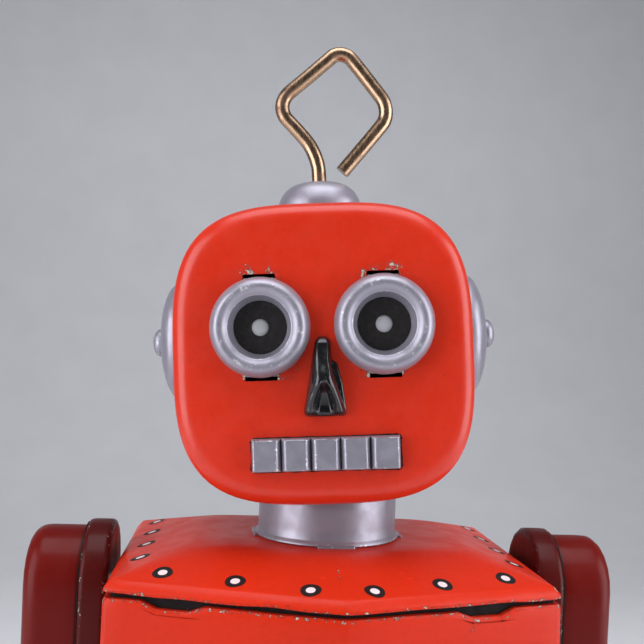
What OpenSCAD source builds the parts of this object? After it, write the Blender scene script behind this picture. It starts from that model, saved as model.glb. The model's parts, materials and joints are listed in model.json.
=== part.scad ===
// Tin wind-up walking robot.
// The robot faces -Y and stands on z = 0. "left" and "right" are the robot's own: its left is +X.

/* [Head] */
// Width of the head across its bulged sides
head_w = 50; // [44:0.5:56]
// Height of the head
head_h = 50; // [44:0.5:56]
// Depth of the head from face to back
head_d = 42; // [36:0.5:50]
// Squareness of the head's outline: 2 is an ellipse, 5 is nearly a square
head_curve = 3.3; // [2.6:0.1:5]
// Radius of the pressed edge round the face and the back
head_edge_r = 3; // [1.5:0.5:5]
// Depth of the separate back cover
head_cover_d = 7; // [5:0.5:10]
// How far the head stands turned on its neck
head_turn = -6; // [-20:1:20]
// How far the head leans on its loose neck
head_lean = -4; // [-4:0.5:4]

/* [Face] */
// Distance between the eyes' centres
eye_spacing = 20.3; // [18:0.1:24]
// Height of the eyes above the middle of the head
eye_up = 4.4; // [0:0.1:7]
// Outer radius of an eye ring
eye_r = 8.2; // [6.5:0.1:8.8]
// Radius of the hole in an eye ring
eye_hole_r = 4.5; // [3:0.1:5.5]
// Radius of the light pupil
pupil_r = 1.4; // [1:0.1:2.5]
// How far an eye ring stands out of the face
eye_rise = 3; // [2:0.1:4]
// Width of the tabs that hold an eye ring
eye_tab_w = 5.2; // [3:0.1:6]
// How far the slots for the tabs show beyond them
eye_slot_gap = 0.35; // [0.1:0.05:0.6]
// Width of the nose at its foot
nose_w = 7.2; // [5:0.1:9]
// Width of the nose at its top
nose_top_w = 2.2; // [1.5:0.1:4]
// Length of the nose
nose_l = 13; // [9:0.1:15]
// How far the nose stands out at its foot
nose_rise = 4.2; // [2:0.1:6]
// Height of the nose's top above the middle of the head
nose_up = 2.6; // [0:0.1:4]
// Width of the row of teeth
teeth_w = 24.2; // [18:0.1:30]
// Height of the teeth
teeth_h = 5.4; // [4:0.1:7]
// How far the teeth stand out of the face
teeth_rise = 1.7; // [1:0.1:3]
// Number of teeth
teeth_n = 5; // [3:1:8]
// Depth of the teeth's middle below the middle of the head
teeth_down = 16.4; // [14:0.1:18]

/* [Ears] */
// Radius of an ear disc
ear_r = 11.4; // [8:0.1:13]
// How far an ear disc stands out of the head's side
ear_rise = 5.2; // [3:0.1:8]
// Distance of the ears behind the neck's axis
ear_back = 2.3; // [0:0.1:5]
// Height of the ears above the middle of the head
ear_up = 2.8; // [0:0.1:5]
// Radius of the knob that rivets an ear
ear_knob_r = 2.7; // [2:0.1:4]

/* [Antenna] */
// Radius of the domed cap on the head
cap_r = 8; // [6:0.1:11]
// Height of the domed cap
cap_h = 6.9; // [4:0.1:10]
// Diameter of the antenna wire
wire_d = 2.7; // [1.6:0.1:3.2]
// Height of the antenna's diamond above the cap
diamond_h = 25.4; // [20:0.1:34]
// Width of the antenna's diamond between its corners before they are rounded
diamond_w = 22.3; // [18:0.1:30]
// Inside bend radius of the antenna wire
wire_bend_r = 2; // [1.2:0.1:2.4]

/* [Neck] */
// Radius of the neck tube
neck_r = 12.6; // [9:0.1:15]
// Length of neck that shows between body and head
neck_h = 8.3; // [6:0.1:14]
// Width of the shelf on the neck that the head sits on
neck_shelf = 1.6; // [1.2:0.1:2.5]
// Gap round the neck in the head's hole
neck_gap = 0.25; // [0.2:0.05:0.5]

/* [Body] */
// Width of the body box
torso_w = 74.8; // [70:0.2:88]
// Distance of the body's front corners before the neck's axis
torso_front = 21; // [20:0.2:26]
// Distance of the body's back behind the neck's axis
torso_back_y = 31.4; // [31:0.2:36]
// How far the front comes to a ridge in the middle
torso_peak = 11; // [4:0.2:14]
// Height of the body box from its skirt to the lid's crease
torso_h = 84; // [84:0.5:96]
// Distance between the body's side seam and its back
seam_y = 9.4; // [6:0.2:12]
// Width of the steep band round the lid's edge
lid_band = 1.4; // [0.8:0.1:2.5]
// Height that the lid rises from crease to neck
lid_rise = 4; // [2:0.1:7]
// Width of the lid's slope from crease to the flat top
lid_slope_w = 13; // [9:0.5:16]
// Gap between the lid and the body box
lid_gap = 0.8; // [0.4:0.1:1.2]
// Thickness of the tinplate
tin = 0.5; // [0.3:0.05:0.7]

/* [Legs] */
// Height of the hip axis above the ground
hip_z = 80; // [78:0.5:90]
// Distance of a leg's middle from the robot's middle
leg_x = 19; // [18.6:0.1:20]
// Width of a leg
leg_w = 24; // [18:0.5:26]
// Depth of a leg
leg_d = 26; // [20:0.5:28]
// Height of the foot at the ankle
foot_h = 16; // [12:0.5:20]
// Length of the foot before the hip's axis
foot_front = 32; // [28:0.5:40]
// Length of the foot behind the hip's axis
foot_heel = 17; // [14:0.5:22]
// Width of a foot
foot_w = 28; // [25:0.5:30]
// Height of the toe
toe_h = 7; // [5:0.5:10]
// Radius of the toe's corners
toe_r = 7; // [3:0.5:10]

/* [Arms] */
// Distance of the shoulder axis behind the neck's axis
shoulder_y = 4; // [2:0.5:6]
// Height of the shoulder axis below the lid's crease
shoulder_down = 8; // [8:0.5:12]
// Radius of the arm's round top
arm_top_r = 9; // [7:0.5:10]
// How far the arm's top stands above the lid's crease
arm_top_up = 5; // [2:0.5:8]
// Width of one arm
arm_w = 15; // [10:0.5:18]
// Width of the arm's inner pressing, as a share of the arm
arm_split = 0.34; // [0.25:0.01:0.6]
// How far the inner pressing stands out round the outer one
arm_lip = 1.2; // [0.6:0.1:1.5]
// Gap between body and arm
arm_gap = 1.3; // [1.3:0.1:3]
// Height of the elbow's middle above the hip axis
elbow_up = 32; // [30:0.5:38]
// Radius of the elbow
elbow_r = 7; // [5:0.5:8]
// Radius of the wrist
wrist_r = 5.5; // [4:0.5:6]
// Length of the forearm
forearm_l = 22; // [18:0.5:30]
// Angle of the forearm below level
forearm_drop = 40; // [20:1:45]
// Outer radius of the claw
claw_r = 9; // [7:0.2:12]
// Width of the metal of the claw
claw_t = 3; // [2:0.2:4]
// Opening angle of the claw
claw_mouth = 80; // [50:1:120]

/* [Clockwork] */
// Distance between the clockwork's plates
plates_gap = 23.2; // [22:0.2:24]
// Thickness of the clockwork's plates and levers
steel_t = 0.8; // [0.6:0.1:1]
// Module of the gear teeth
gear_module = 0.6; // [0.5:0.05:0.62]
// Teeth on the two wheels
wheel_teeth = 40; // [36:1:42]
// Teeth on the two pinions
pinion_teeth = 12; // [12:1:14]
// Direction from the crank axle down to the winding arbor
arbor_angle = -10; // [-15:1:-5]
// Radius of the winding arbor
arbor_r = 2; // [1.6:0.1:2.4]
// Radius of the crank axle
axle_r = 1.5; // [1.2:0.1:1.8]
// Radius of the governor's arbor
pivot_r = 0.8; // [0.6:0.1:1]
// Height of the crank axle above the hip axis
crank_up = 15; // [14:0.5:18]
// Throw of the crank pins
crank_throw = 3.2; // [2.5:0.1:3.6]
// Radius of the leg levers' and arm levers' pins
pin_r = 0.9; // [0.7:0.1:1.2]
// Distance of a rod's pins from the hip and shoulder axes
rod_arm = 6; // [5:0.5:7]
// Turns of the mainspring
spring_turns = 5; // [3:1:6]
// Reach of the key's wings
key_reach = 11; // [8:0.5:11.5]
// Length of the key's barrel outside the body
key_l = 10.5; // [8:0.5:12]

/* [Hidden] */
$fn = 48;

run_gap = 0.05;      // radial clearance of every turning fit
side_gap = 0.2;      // end clearance between pieces that turn past each other
skirt_below = 4;     // how far the body's skirt hangs below its base plate
leg_top_gap = 1;     // between a leg's top and the skirt's lower edge
pan_steps = 4;       // rings in a pressed edge
rim_up = 0.3;        // straight rim below a dome on the head
outline_n = 64;      // points round the head's outline

// Heights
base_z = hip_z - 10;
skirt_z = base_z - skirt_below;
crease_z = skirt_z + torso_h;
neck_z = crease_z + lid_rise;
head_z0 = neck_z + neck_h;
wall_top = crease_z - lid_band - tin - lid_gap;

// Head
head_front_y = -head_d / 2;
head_seam_y = head_d / 2 - head_cover_d;
hole_r = neck_r - neck_shelf + neck_gap;
lean_rise = neck_r * sin(abs(head_lean));
lean_drop = max([for (k = [0 : 12]) k / 12 * lean_rise - floor_rise(k / 12 * neck_r)]);
shelf_z = head_z0 - lean_drop - 0.04;  // the leaning head rests on the shelf's low side
flange_z = head_z0 + tin + lean_rise + floor_rise(neck_r) + 0.3;  // clears the head's high side

// Clockwork
plate_x = plates_gap / 2;
wheel_r = gear_module * wheel_teeth / 2;
pinion_r = gear_module * pinion_teeth / 2;
centres = wheel_r + pinion_r;
crank_at = [0, hip_z + crank_up];
arbor_at = crank_at + centres * [cos(arbor_angle), sin(arbor_angle)];
governor_at = crank_at + [0, centres];
wheel_t = 1.5;
great_x = -plate_x + 1.2;
ratchet_x = great_x + wheel_t + side_gap;
ratchet_t = 1.4;
ratchet_r = 5;
spring_x = [ratchet_x + ratchet_t + 0.8, plate_x - 1.2 - wheel_t - 1.4];
crank_wheel_x = plate_x - 1.2 - wheel_t;
crank_disc_x = plate_x + steel_t + 0.4;
crank_disc_t = 1.6;
crank_disc_r = crank_throw + 2;
lever_x = leg_x - steel_t / 2;
lever_hub_r = 2.6;
hip_pin_r = 1.5;
rod_x = lever_x + steel_t + 1.8;
rod_t = 0.6;
arm_lever_x = rod_x + rod_t + 0.6;
shoulder_at = [shoulder_y, crease_z - shoulder_down];
shaft_r = 1.8;
pillar_r = 1.6;
motor_front = -14;
motor_rear = 29.4;
motor_top = governor_at[1] + 19;
pillars_at = [[-6.5, base_z + 4], [25, base_z + 3.4], [-7.5, motor_top - 3.5], [19, motor_top - 16]];
flange_w = 4.2;
flange_ys = [[-10.5, -3.5], [17, 25]];
screw_r = 1.1;

// Arms
arm_x = torso_w / 2 + arm_gap;
arm_seam = arm_x + arm_split * arm_w;
claw_x = (arm_seam + arm_x + arm_w) / 2;
arm_top_z = crease_z + arm_top_up - arm_top_r - arm_lip;
elbow_at = [shoulder_y, hip_z + elbow_up];
forearm_dir = [-cos(forearm_drop), -sin(forearm_drop)];
wrist_at = elbow_at + forearm_l * forearm_dir;
claw_at = wrist_at + (wrist_r + claw_r - 1.2) * forearm_dir;
claw_w = 5;

// ---- Helpers ----

// How far the head's curved floor has risen at a distance from its middle.
function floor_rise(x) = head_h / 2 * (1 - pow(1 - pow(2 * x / head_w, head_curve), 1 / head_curve));

// Draws its children's XY plane as the robot's YZ plane, with their +Z along +X, starting at x.
module side_on(x) {
    translate([x, 0, 0]) rotate([90, 0, 90]) children();
}

// Places the head's pieces: they are drawn about the middle of the head, upright and facing -Y.
module on_head() {
    translate([0, 0, head_z0]) rotate([0, 0, head_turn]) rotate([0, head_lean, 0])
        translate([0, 0, head_h / 2]) children();
}

module on_right() { mirror([1, 0, 0]) children(); }

// A cylinder along the robot's X axis at a [y, z] place.
module rod_x_wise(at, r, x0, x1) {
    side_on(x0) translate(at) cylinder(r = r, h = x1 - x0);
}

function superellipse(a, b, n, t) = [
    a * sign(cos(t)) * pow(abs(cos(t)), 2 / n),
    b * sign(sin(t)) * pow(abs(sin(t)), 2 / n)
];

// One ring of the head's outline, inset from its full size, at a depth.
function head_ring(inset, y) = [
    for (i = [0 : outline_n - 1])
        let (p = superellipse(head_w / 2 - inset, head_h / 2 - inset, head_curve, 360 * i / outline_n))
        [p[0], y, p[1]]
];

// Joins rings of equal length into one closed solid with flat ends.
module loft(rings) {
    n = len(rings[0]);
    last = len(rings) - 1;
    points = [for (r = rings) each r];
    sides = [
        for (k = [0 : last - 1], i = [0 : n - 1])
            [k * n + i, k * n + (i + 1) % n, (k + 1) * n + (i + 1) % n, (k + 1) * n + i]
    ];
    first_cap = [for (i = [n - 1 : -1 : 0]) i];
    last_cap = [for (i = [0 : n - 1]) last * n + i];
    polyhedron(points, concat(sides, [first_cap, last_cap]), convexity = 6);
}

// A pressed pan with the head's outline: its flat face at y_face, its open rim at y_rim.
module head_pan(y_face, y_rim) {
    s = sign(y_rim - y_face);
    inner_r = head_edge_r - tin;
    steps = [for (k = [0 : pan_steps]) 90 * k / pan_steps];
    inside = [for (a = steps)
        head_ring(tin + inner_r * (1 - sin(a)), y_face + s * (tin + inner_r * (1 - cos(a))))];
    outside = [for (k = [pan_steps : -1 : 0])
        head_ring(head_edge_r * (1 - sin(steps[k])), y_face + s * head_edge_r * (1 - cos(steps[k])))];
    rings = concat(inside, [head_ring(tin, y_rim), head_ring(0, y_rim)], outside);
    loft(s > 0 ? rings : [for (k = [len(rings) - 1 : -1 : 0]) rings[k]]);
}

// The body box's outline in plan, grown or shrunk by d along its sides.
module torso_outline(d) {
    offset(delta = d) polygon([
        [-torso_w / 2, -torso_front], [0, -torso_front - torso_peak], [torso_w / 2, -torso_front],
        [torso_w / 2, torso_back_y], [-torso_w / 2, torso_back_y]
    ]);
}

module torso_ring(outer, inner, z0, z1) {
    translate([0, 0, z0]) linear_extrude(z1 - z0) difference() {
        torso_outline(outer);
        torso_outline(inner);
    }
}

// Radial profile of a pressed dome from rim to crown, as [radius, height] points: the lower p, the
// squarer the dome.
function dome(r, h, r_top, n, p = 0.8) = [
    for (k = [0 : n]) let (a = 90 * k / n) [r_top + (r - r_top) * pow(cos(a), p), h * pow(sin(a), p)]
];

// A thin revolved shell that follows a profile, closed inwards by the sheet's thickness.
module spun_shell(profile, t) {
    n = len(profile) - 1;
    r_top = profile[n][0];
    inner = [for (k = [n : -1 : 0]) [
        max(r_top, profile[k][0] - t * (1 - k / n) - t * k / n * 0.3),
        max(0, profile[k][1] - t * k / n)
    ]];
    rotate_extrude() polygon(concat(profile, inner));
}

// ---- Gears ----

function involute(a) = tan(a) * 180 / PI - a;

// A spur gear's outline with stub teeth: a tooth is centred on angle 0.
function gear_points(n, m, play = 0.05) =
    let (
        rp = m * n / 2,
        rb = rp * cos(20),
        ra = rp + 0.75 * m,
        rr = rp - m,
        half = 90 / n - play / rp * 90 / PI,
        radii = [for (k = [0 : 4]) max(rb, rr) + (ra - max(rb, rr)) * k / 4],
        turn = [for (r = radii) half + involute(20) - involute(acos(rb / r))],
        flank = concat([[rr, turn[0]]], [for (k = [0 : 4]) [radii[k], turn[k]]])
    )
    [for (i = [0 : n - 1]) each concat(
        [for (p = flank) let (a = 360 * i / n - p[1]) p[0] * [cos(a), sin(a)]],
        [for (k = [5 : -1 : 0]) let (p = flank[k], a = 360 * i / n + p[1]) p[0] * [cos(a), sin(a)]]
    )];

module gear(n, t, bore) {
    difference() {
        linear_extrude(t) polygon(gear_points(n, gear_module));
        translate([0, 0, -1]) cylinder(r = bore, h = t + 2);
    }
}

// ---- Head ----

module head_front() {
    color("orangered") on_head() difference() {
        head_pan(head_front_y, head_seam_y);
        for (s = [-1, 1]) translate([s * eye_spacing / 2, head_front_y, eye_up]) {
            rotate([90, 0, 0]) cylinder(r = eye_r - 1.6, h = 4, center = true);
            for (k = [-1, 1]) mirror([0, 0, k < 0 ? 1 : 0])
                translate([-eye_tab_w / 2, -2, eye_r - 0.4]) cube([eye_tab_w, 4, tin + eye_slot_gap]);
        }
        for (s = [-1, 1])
            translate([0, ear_back, ear_up]) rotate([0, s * 90, 0]) cylinder(r = 1.5, h = head_w);
        cylinder(r = wire_d / 2, h = head_h);
        translate([0, 0, -head_h]) cylinder(r = hole_r, h = head_h);
    }
}

module head_back() {
    color("orangered") on_head() head_pan(head_d / 2, head_seam_y);
}

// A pressed ring with a rolled rim and a dished face. Two tabs pass the face's slots and are bent
// over behind the printed disc.
module eye_ring() {
    roll_r = eye_rise / 2 + 0.1;
    crest = eye_r - roll_r;
    rim = [for (a = [0 : 15 : 135]) [crest + roll_r * cos(a), eye_rise - roll_r + roll_r * sin(a)]];
    rotate([90, 0, 0]) rotate_extrude() difference() {
        polygon(concat([[eye_r, 0]], rim, [[eye_hole_r + 0.4, 0.9], [eye_hole_r, 0.5], [eye_hole_r, 0]]));
        translate([crest - 0.6, -0.01]) square([1.6, eye_rise - roll_r]);
    }
    for (s = [-1, 1]) mirror([0, 0, s < 0 ? 1 : 0]) {
        translate([-eye_tab_w / 2, -0.2, eye_r - 0.4]) cube([eye_tab_w, 2 * tin + 0.7, tin]);
        translate([-eye_tab_w / 2, 2 * tin, eye_r - 2.4]) cube([eye_tab_w, tin, 2 + tin]);
    }
}

module at_eye(s) {
    on_head() translate([s * eye_spacing / 2, head_front_y, eye_up]) children();
}

module eye_ring_left() { color("lightsteelblue") at_eye(1) eye_ring(); }
module eye_ring_right() { color("lightsteelblue") at_eye(-1) eye_ring(); }

// The printed disc lies against the back of the face.
module eye_disc() {
    translate([0, 2 * tin, 0]) rotate([90, 0, 0]) difference() {
        cylinder(r = eye_r - 0.9, h = tin);
        translate([0, 0, -1]) cylinder(r = 0.6, h = 3);
    }
}

module eye_disc_left() { color("black") at_eye(1) eye_disc(); }
module eye_disc_right() { color("black") at_eye(-1) eye_disc(); }

// A small domed rivet in the middle of each disc.
module pupils() {
    for (s = [-1, 1]) color("lightgray") at_eye(s) rotate([90, 0, 0]) {
        translate([0, 0, -2 * tin - 0.4]) cylinder(r = 0.6, h = tin + 0.5);
        translate([0, 0, -2 * tin - 0.4]) cylinder(r = 1.1, h = 0.4);
        translate([0, 0, -tin]) rotate_extrude() polygon([
            [0, 0], [pupil_r, 0], for (a = [20 : 20 : 80]) [pupil_r * cos(a), 0.6 * sin(a)], [0, 0.6]
        ]);
    }
}

// A pressed nose: a narrow bridge that widens into a blunt, upturned foot.
module nose() {
    foot_r = 0.9;
    color("black") on_head() translate([0, head_front_y, nose_up]) intersection() {
        hull() {
            translate([0, 0, -nose_top_w / 2]) sphere(r = nose_top_w / 2, $fn = 24);
            translate([0, -nose_rise * 0.55, -nose_l * 0.72]) sphere(r = nose_top_w / 2, $fn = 24);
            for (s = [-1, 1]) translate([s * (nose_w / 2 - foot_r), 0, foot_r - nose_l])
                rotate([90, 0, 0]) cylinder(r = foot_r, h = nose_rise * 0.7, $fn = 24);
            translate([0, -nose_rise + foot_r, foot_r - nose_l]) sphere(r = foot_r, $fn = 24);
        }
        translate([-nose_w, -2 * nose_rise, -2 * nose_l]) cube([2 * nose_w, 2 * nose_rise, 3 * nose_l]);
    }
}

module teeth() {
    pitch = teeth_w / teeth_n;
    color("lightsteelblue") on_head()
        translate([-teeth_w / 2, head_front_y - teeth_rise, -teeth_down - teeth_h / 2]) difference() {
            cube([teeth_w, teeth_rise, teeth_h]);
            for (k = [1 : teeth_n - 1])
                translate([k * pitch - 0.25, -0.6, -1]) cube([0.5, 1.4, teeth_h + 2]);
        }
}

// The head's outline as a long bar from face to back, to seat pieces on its curved sides.
module head_bar() {
    rotate([90, 0, 0]) linear_extrude(2 * head_d, center = true)
        polygon([for (p = head_ring(0, 0)) [p[0], p[2]]]);
}

// A hollow dome with a hole for its rivet, its rim cut to the curve of the head's side.
module ear() {
    difference() {
        translate([head_w / 2 + rim_up, ear_back, ear_up]) rotate([0, 90, 0])
            spun_shell(concat([[ear_r, -2]], dome(ear_r, ear_rise - rim_up, 1.5, 8, 0.6)), tin);
        head_bar();
    }
}

module ear_left() { color("lightsteelblue") on_head() ear(); }
module ear_right() { color("lightsteelblue") on_head() mirror([1, 0, 0]) ear(); }

module ear_rivet() {
    translate([head_w / 2, ear_back, ear_up]) rotate([0, 90, 0]) {
        translate([0, 0, -2]) cylinder(r = 1.5, h = ear_rise + 2);
        translate([0, 0, -2]) cylinder(r = 2.6, h = 1.4);
        translate([0, 0, ear_rise]) rotate_extrude() polygon([
            [0, 0], [ear_knob_r, 0], for (a = [20 : 20 : 80]) [ear_knob_r * cos(a), 1.9 * sin(a)], [0, 1.9]
        ]);
    }
}

module ear_rivets() {
    color("lightsteelblue") on_head() {
        ear_rivet();
        mirror([1, 0, 0]) ear_rivet();
    }
}

module antenna_cap() {
    pressing = dome(cap_r, cap_h - rim_up, wire_d / 2, 8);
    color("lightsteelblue") on_head() difference() {
        translate([0, 0, head_h / 2 + rim_up]) spun_shell(concat([[cap_r, -1]], pressing), tin);
        head_bar();
    }
}

// Points along a path with its corners rounded: [x, z, heading] at each station.
function rounded_path(points, bend_r) =
    let (
        n = len(points) - 1,
        dir = [for (k = [0 : n - 1]) (points[k + 1] - points[k]) / norm(points[k + 1] - points[k])],
        heading = [for (d = dir) atan2(d[1], d[0])]
    )
    concat([[points[0][0], points[0][1], heading[0]]],
        [for (k = [1 : n - 1])
            let (
                raw = heading[k] - heading[k - 1],
                turn = raw > 180 ? raw - 360 : raw < -180 ? raw + 360 : raw,
                side = sign(turn),
                start = points[k] - bend_r * abs(tan(turn / 2)) * dir[k - 1],
                centre = start + bend_r * side * [-dir[k - 1][1], dir[k - 1][0]],
                stations = ceil(abs(turn) / 11)
            )
            each [for (j = [0 : stations])
                let (h = heading[k - 1] + turn * j / stations, p = centre - bend_r * side * [-sin(h), cos(h)])
                [p[0], p[1], h]]
        ],
        [[points[n][0], points[n][1], heading[n - 1]]]);

// A round wire of radius r that lies in the XZ plane along a rounded path.
module bent_wire(points, r, bend_r) {
    loft([for (p = rounded_path(points, bend_r))
        [for (a = [0 : 15 : 345]) [p[0] - r * cos(a) * sin(p[2]), r * sin(a), p[1] + r * cos(a) * cos(p[2])]]
    ]);
}

// One wire: up out of the cap, round a leaning open diamond, and back to a free end.
module antenna_wire() {
    left = -0.36 * diamond_w;
    right = left + diamond_w;
    centre_r = wire_bend_r + wire_d / 2;
    path = [
        [0, -cap_h - 3.5], [0, 0.22 * diamond_h], [left, 0.59 * diamond_h],
        [left + 0.59 * diamond_w, diamond_h], [right, 0.52 * diamond_h],
        [right - 0.44 * diamond_w, 0.075 * diamond_h]
    ];
    color("darkgoldenrod") on_head() translate([0, 0, head_h / 2 + cap_h])
        bent_wire(path, wire_d / 2, centre_r);
}

// A push-on washer under the head's top holds the wire.
module antenna_washer() {
    color("silver") on_head() translate([0, 0, head_h / 2 - tin - 1.1]) difference() {
        cylinder(r = wire_d / 2 + 2.6, h = 1);
        translate([0, 0, -1]) cylinder(r = wire_d / 2, h = 3);
    }
}

// ---- Body ----

module wall_holes() {
    for (s = [-1, 1]) mirror([s < 0 ? 1 : 0, 0, 0])
        rod_x_wise(shoulder_at, shaft_r + 1.4, torso_w / 2 - 3, torso_w / 2 + 3);
    rod_x_wise(arbor_at, arbor_r + 1.4, torso_w / 2 - 3, torso_w / 2 + 3);
}

// The box's wall with its shoulder and the upstand inside the lid.
module torso_wall() {
    torso_ring(0, -tin, skirt_z, wall_top);
    torso_ring(0, -tin - 1.2, wall_top - tin, wall_top);
    difference() {
        torso_ring(-1.2, -1.2 - tin, wall_top - tin, crease_z - 0.9);
        lid_shell();
    }
}

module torso_side(front) {
    big = 4 * torso_w;
    intersection() {
        torso_wall();
        translate([-big / 2, front ? torso_back_y - seam_y - big : torso_back_y - seam_y, 0])
            cube([big, big, big]);
    }
}

module torso_front() {
    color("orangered") difference() {
        torso_side(true);
        wall_holes();
    }
}

module torso_back() { color("orangered") torso_side(false); }

module lid_solid(d, drop) {
    flat = lid_slope_w + d;
    hull() {
        translate([0, 0, crease_z - lid_band - tin]) linear_extrude(tin - drop / 2) torso_outline(-d);
        translate([0, 0, crease_z - 0.01 - drop]) linear_extrude(0.01) torso_outline(-lid_band - d);
        translate([0, 0, neck_z - 0.01 - drop]) linear_extrude(0.01) torso_outline(-flat);
    }
}

module lid_shell() {
    difference() {
        lid_solid(0, 0);
        translate([0, 0, -0.02]) lid_solid(tin, tin);
    }
}

// The lid: a steep band, a crease, a slope and a flat top that carries the neck.
module shoulder_lid() {
    color("orangered") difference() {
        lid_shell();
        translate([0, 0, crease_z]) cylinder(r = neck_r - 2 * tin, h = 3 * lid_rise);
        neck_tabs();
    }
}

module base_plate() {
    color("gray") difference() {
        translate([0, 0, base_z]) linear_extrude(tin) torso_outline(-tin);
        for (s = [-1, 1]) translate([s * leg_x, 0, base_z]) cube([5, 17, 4], center = true);
        motor_screw_row(screw_r, base_z - 1, base_z + 2);
    }
}

// Four tabs below the neck, bent through slots in the lid.
module neck_tabs() {
    for (a = [0 : 90 : 270]) rotate([0, 0, a])
        translate([-3, -neck_r - 0.1, neck_z - 2]) cube([6, tin, 2.2]);
}

// The tube steps in at the shelf; its top edge is spread over the head's floor.
module neck() {
    r1 = neck_r - neck_shelf;
    color("lightsteelblue") {
        rotate_extrude() polygon([
            [neck_r, neck_z + tin], [neck_r, shelf_z], [r1, shelf_z], [r1, flange_z], [neck_r, flange_z],
            [neck_r, flange_z + tin], [r1 - tin, flange_z + tin], [r1 - tin, shelf_z - tin],
            [neck_r - tin, shelf_z - tin], [neck_r - tin, neck_z], [neck_r + 0.6, neck_z],
            [neck_r + 0.6, neck_z + tin]
        ]);
        neck_tabs();
    }
}

module bush(at, r) {
    side_on(torso_w / 2 - tin - 0.6) translate(at) difference() {
        union() {
            cylinder(r = r + 1.4, h = tin + 0.6);
            cylinder(r = r + 2.6, h = 0.6);
            translate([0, 0, tin + 0.6]) cylinder(r = r + 2.2, h = 0.9);
        }
        translate([0, 0, -1]) cylinder(r = r + run_gap, h = 5);
    }
}

module wall_bushes() {
    color("silver") {
        bush(shoulder_at, shaft_r);
        mirror([1, 0, 0]) bush(shoulder_at, shaft_r);
        bush(arbor_at, arbor_r);
    }
}

// ---- Clockwork frame ----

module motor_outline() {
    offset(r = 3) offset(delta = -3) polygon([
        [motor_front, base_z + tin], [motor_rear, base_z + tin], [motor_rear, motor_top - 24],
        [22, motor_top - 12], [6, motor_top], [motor_front, motor_top]
    ]);
    translate([motor_front, base_z + tin]) square([motor_rear - motor_front, 4]);
}

module motor_plate() {
    difference() {
        union() {
            side_on(plate_x) linear_extrude(steel_t) motor_outline();
            for (f = flange_ys) translate([plate_x, f[0], base_z + tin])
                cube([steel_t + flange_w, f[1] - f[0], steel_t]);
        }
        rod_x_wise(crank_at, axle_r + run_gap, plate_x - 1, plate_x + 2);
        rod_x_wise(arbor_at, arbor_r + run_gap, plate_x - 1, plate_x + 2);
        rod_x_wise(governor_at, pivot_r + run_gap, plate_x - 1, plate_x + 2);
        rod_x_wise([0, hip_z], hip_pin_r, plate_x - 1, plate_x + 2);
        for (p = pillars_at) rod_x_wise(p, 1, plate_x - 1, plate_x + 2);
        motor_screw_row(screw_r, base_z, base_z + 4);
    }
}

module motor_plate_left() { color("silver") motor_plate(); }
module motor_plate_right() { color("silver") mirror([1, 0, 0]) motor_plate(); }

module motor_pillars() {
    color("gold") for (p = pillars_at) {
        rod_x_wise(p, pillar_r, -plate_x, plate_x);
        rod_x_wise(p, 1, -plate_x - steel_t, plate_x + steel_t);
        for (s = [-1, 1]) mirror([s < 0 ? 1 : 0, 0, 0])
            rod_x_wise(p, 1.4, plate_x + steel_t, plate_x + steel_t + 0.4);
    }
}

module motor_screw_row(r, z0, z1) {
    x = plate_x + steel_t + flange_w / 2;
    for (f = flange_ys, s = [-1, 1])
        translate([s * x, (f[0] + f[1]) / 2, z0]) cylinder(r = r, h = z1 - z0);
}

module motor_screws() {
    color("silver") {
        motor_screw_row(screw_r, base_z - 0.2, base_z + tin + steel_t + 0.6);
        motor_screw_row(2, base_z - 1, base_z);
    }
}

// A flat spiral round the arbor; its outer end runs straight on and lies against a pillar.
module mainspring() {
    t = 0.45;
    r0 = arbor_r + 0.9 + t;
    r1 = wheel_r - 0.9;
    steps = 24 * spring_turns;
    post = pillars_at[1] - arbor_at;
    hook_r = pillar_r + t / 2;
    a1 = atan2(post[1], post[0]) - acos((r1 - hook_r) / norm(post));
    along = [-sin(a1), cos(a1)];
    spiral = [for (k = [0 : steps])
        let (a = a1 - 360 * spring_turns * (1 - k / steps)) [r0 + (r1 - r0) * k / steps, [cos(a), sin(a)]]];
    end = post + hook_r * [cos(a1), sin(a1)] + 2 * along;
    outer = [for (p = spiral) (p[0] + t / 2) * p[1]];
    inner = [for (k = [steps : -1 : 0]) (spiral[k][0] - t / 2) * spiral[k][1]];
    tail = [end + t / 2 * [cos(a1), sin(a1)], end - t / 2 * [cos(a1), sin(a1)]];
    color("steelblue") side_on(spring_x[0]) translate(arbor_at) linear_extrude(spring_x[1] - spring_x[0])
        polygon(concat(outer, tail, inner));
}

module hip_pin() {
    rod_x_wise([0, hip_z], hip_pin_r, plate_x, lever_x + steel_t + 1.0);
    rod_x_wise([0, hip_z], 2.4, plate_x + steel_t, plate_x + steel_t + 1);
    rod_x_wise([0, hip_z], 2.2, lever_x + steel_t + 0.6 + side_gap, lever_x + steel_t + 1.4);
}

module hip_pins() {
    color("silver") {
        hip_pin();
        mirror([1, 0, 0]) hip_pin();
    }
}

// ---- Clockwork wheels ----

module winding_arbor() {
    color("silver") {
        rod_x_wise(arbor_at, arbor_r, -plate_x - steel_t - 1, torso_w / 2 + key_l - 2);
        rod_x_wise(arbor_at, arbor_r + 0.9, spring_x[0], spring_x[1]);
    }
}

module ratchet_wheel() {
    n = 12;
    color("gold") side_on(ratchet_x) translate(arbor_at) difference() {
        linear_extrude(ratchet_t) polygon([
            for (k = [0 : n - 1]) each [
                ratchet_r * [cos(360 * k / n), sin(360 * k / n)],
                (ratchet_r - 1.1) * [cos(360 * k / n + 3), sin(360 * k / n + 3)]
            ]
        ]);
        translate([0, 0, -1]) cylinder(r = arbor_r, h = 5);
    }
}

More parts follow.
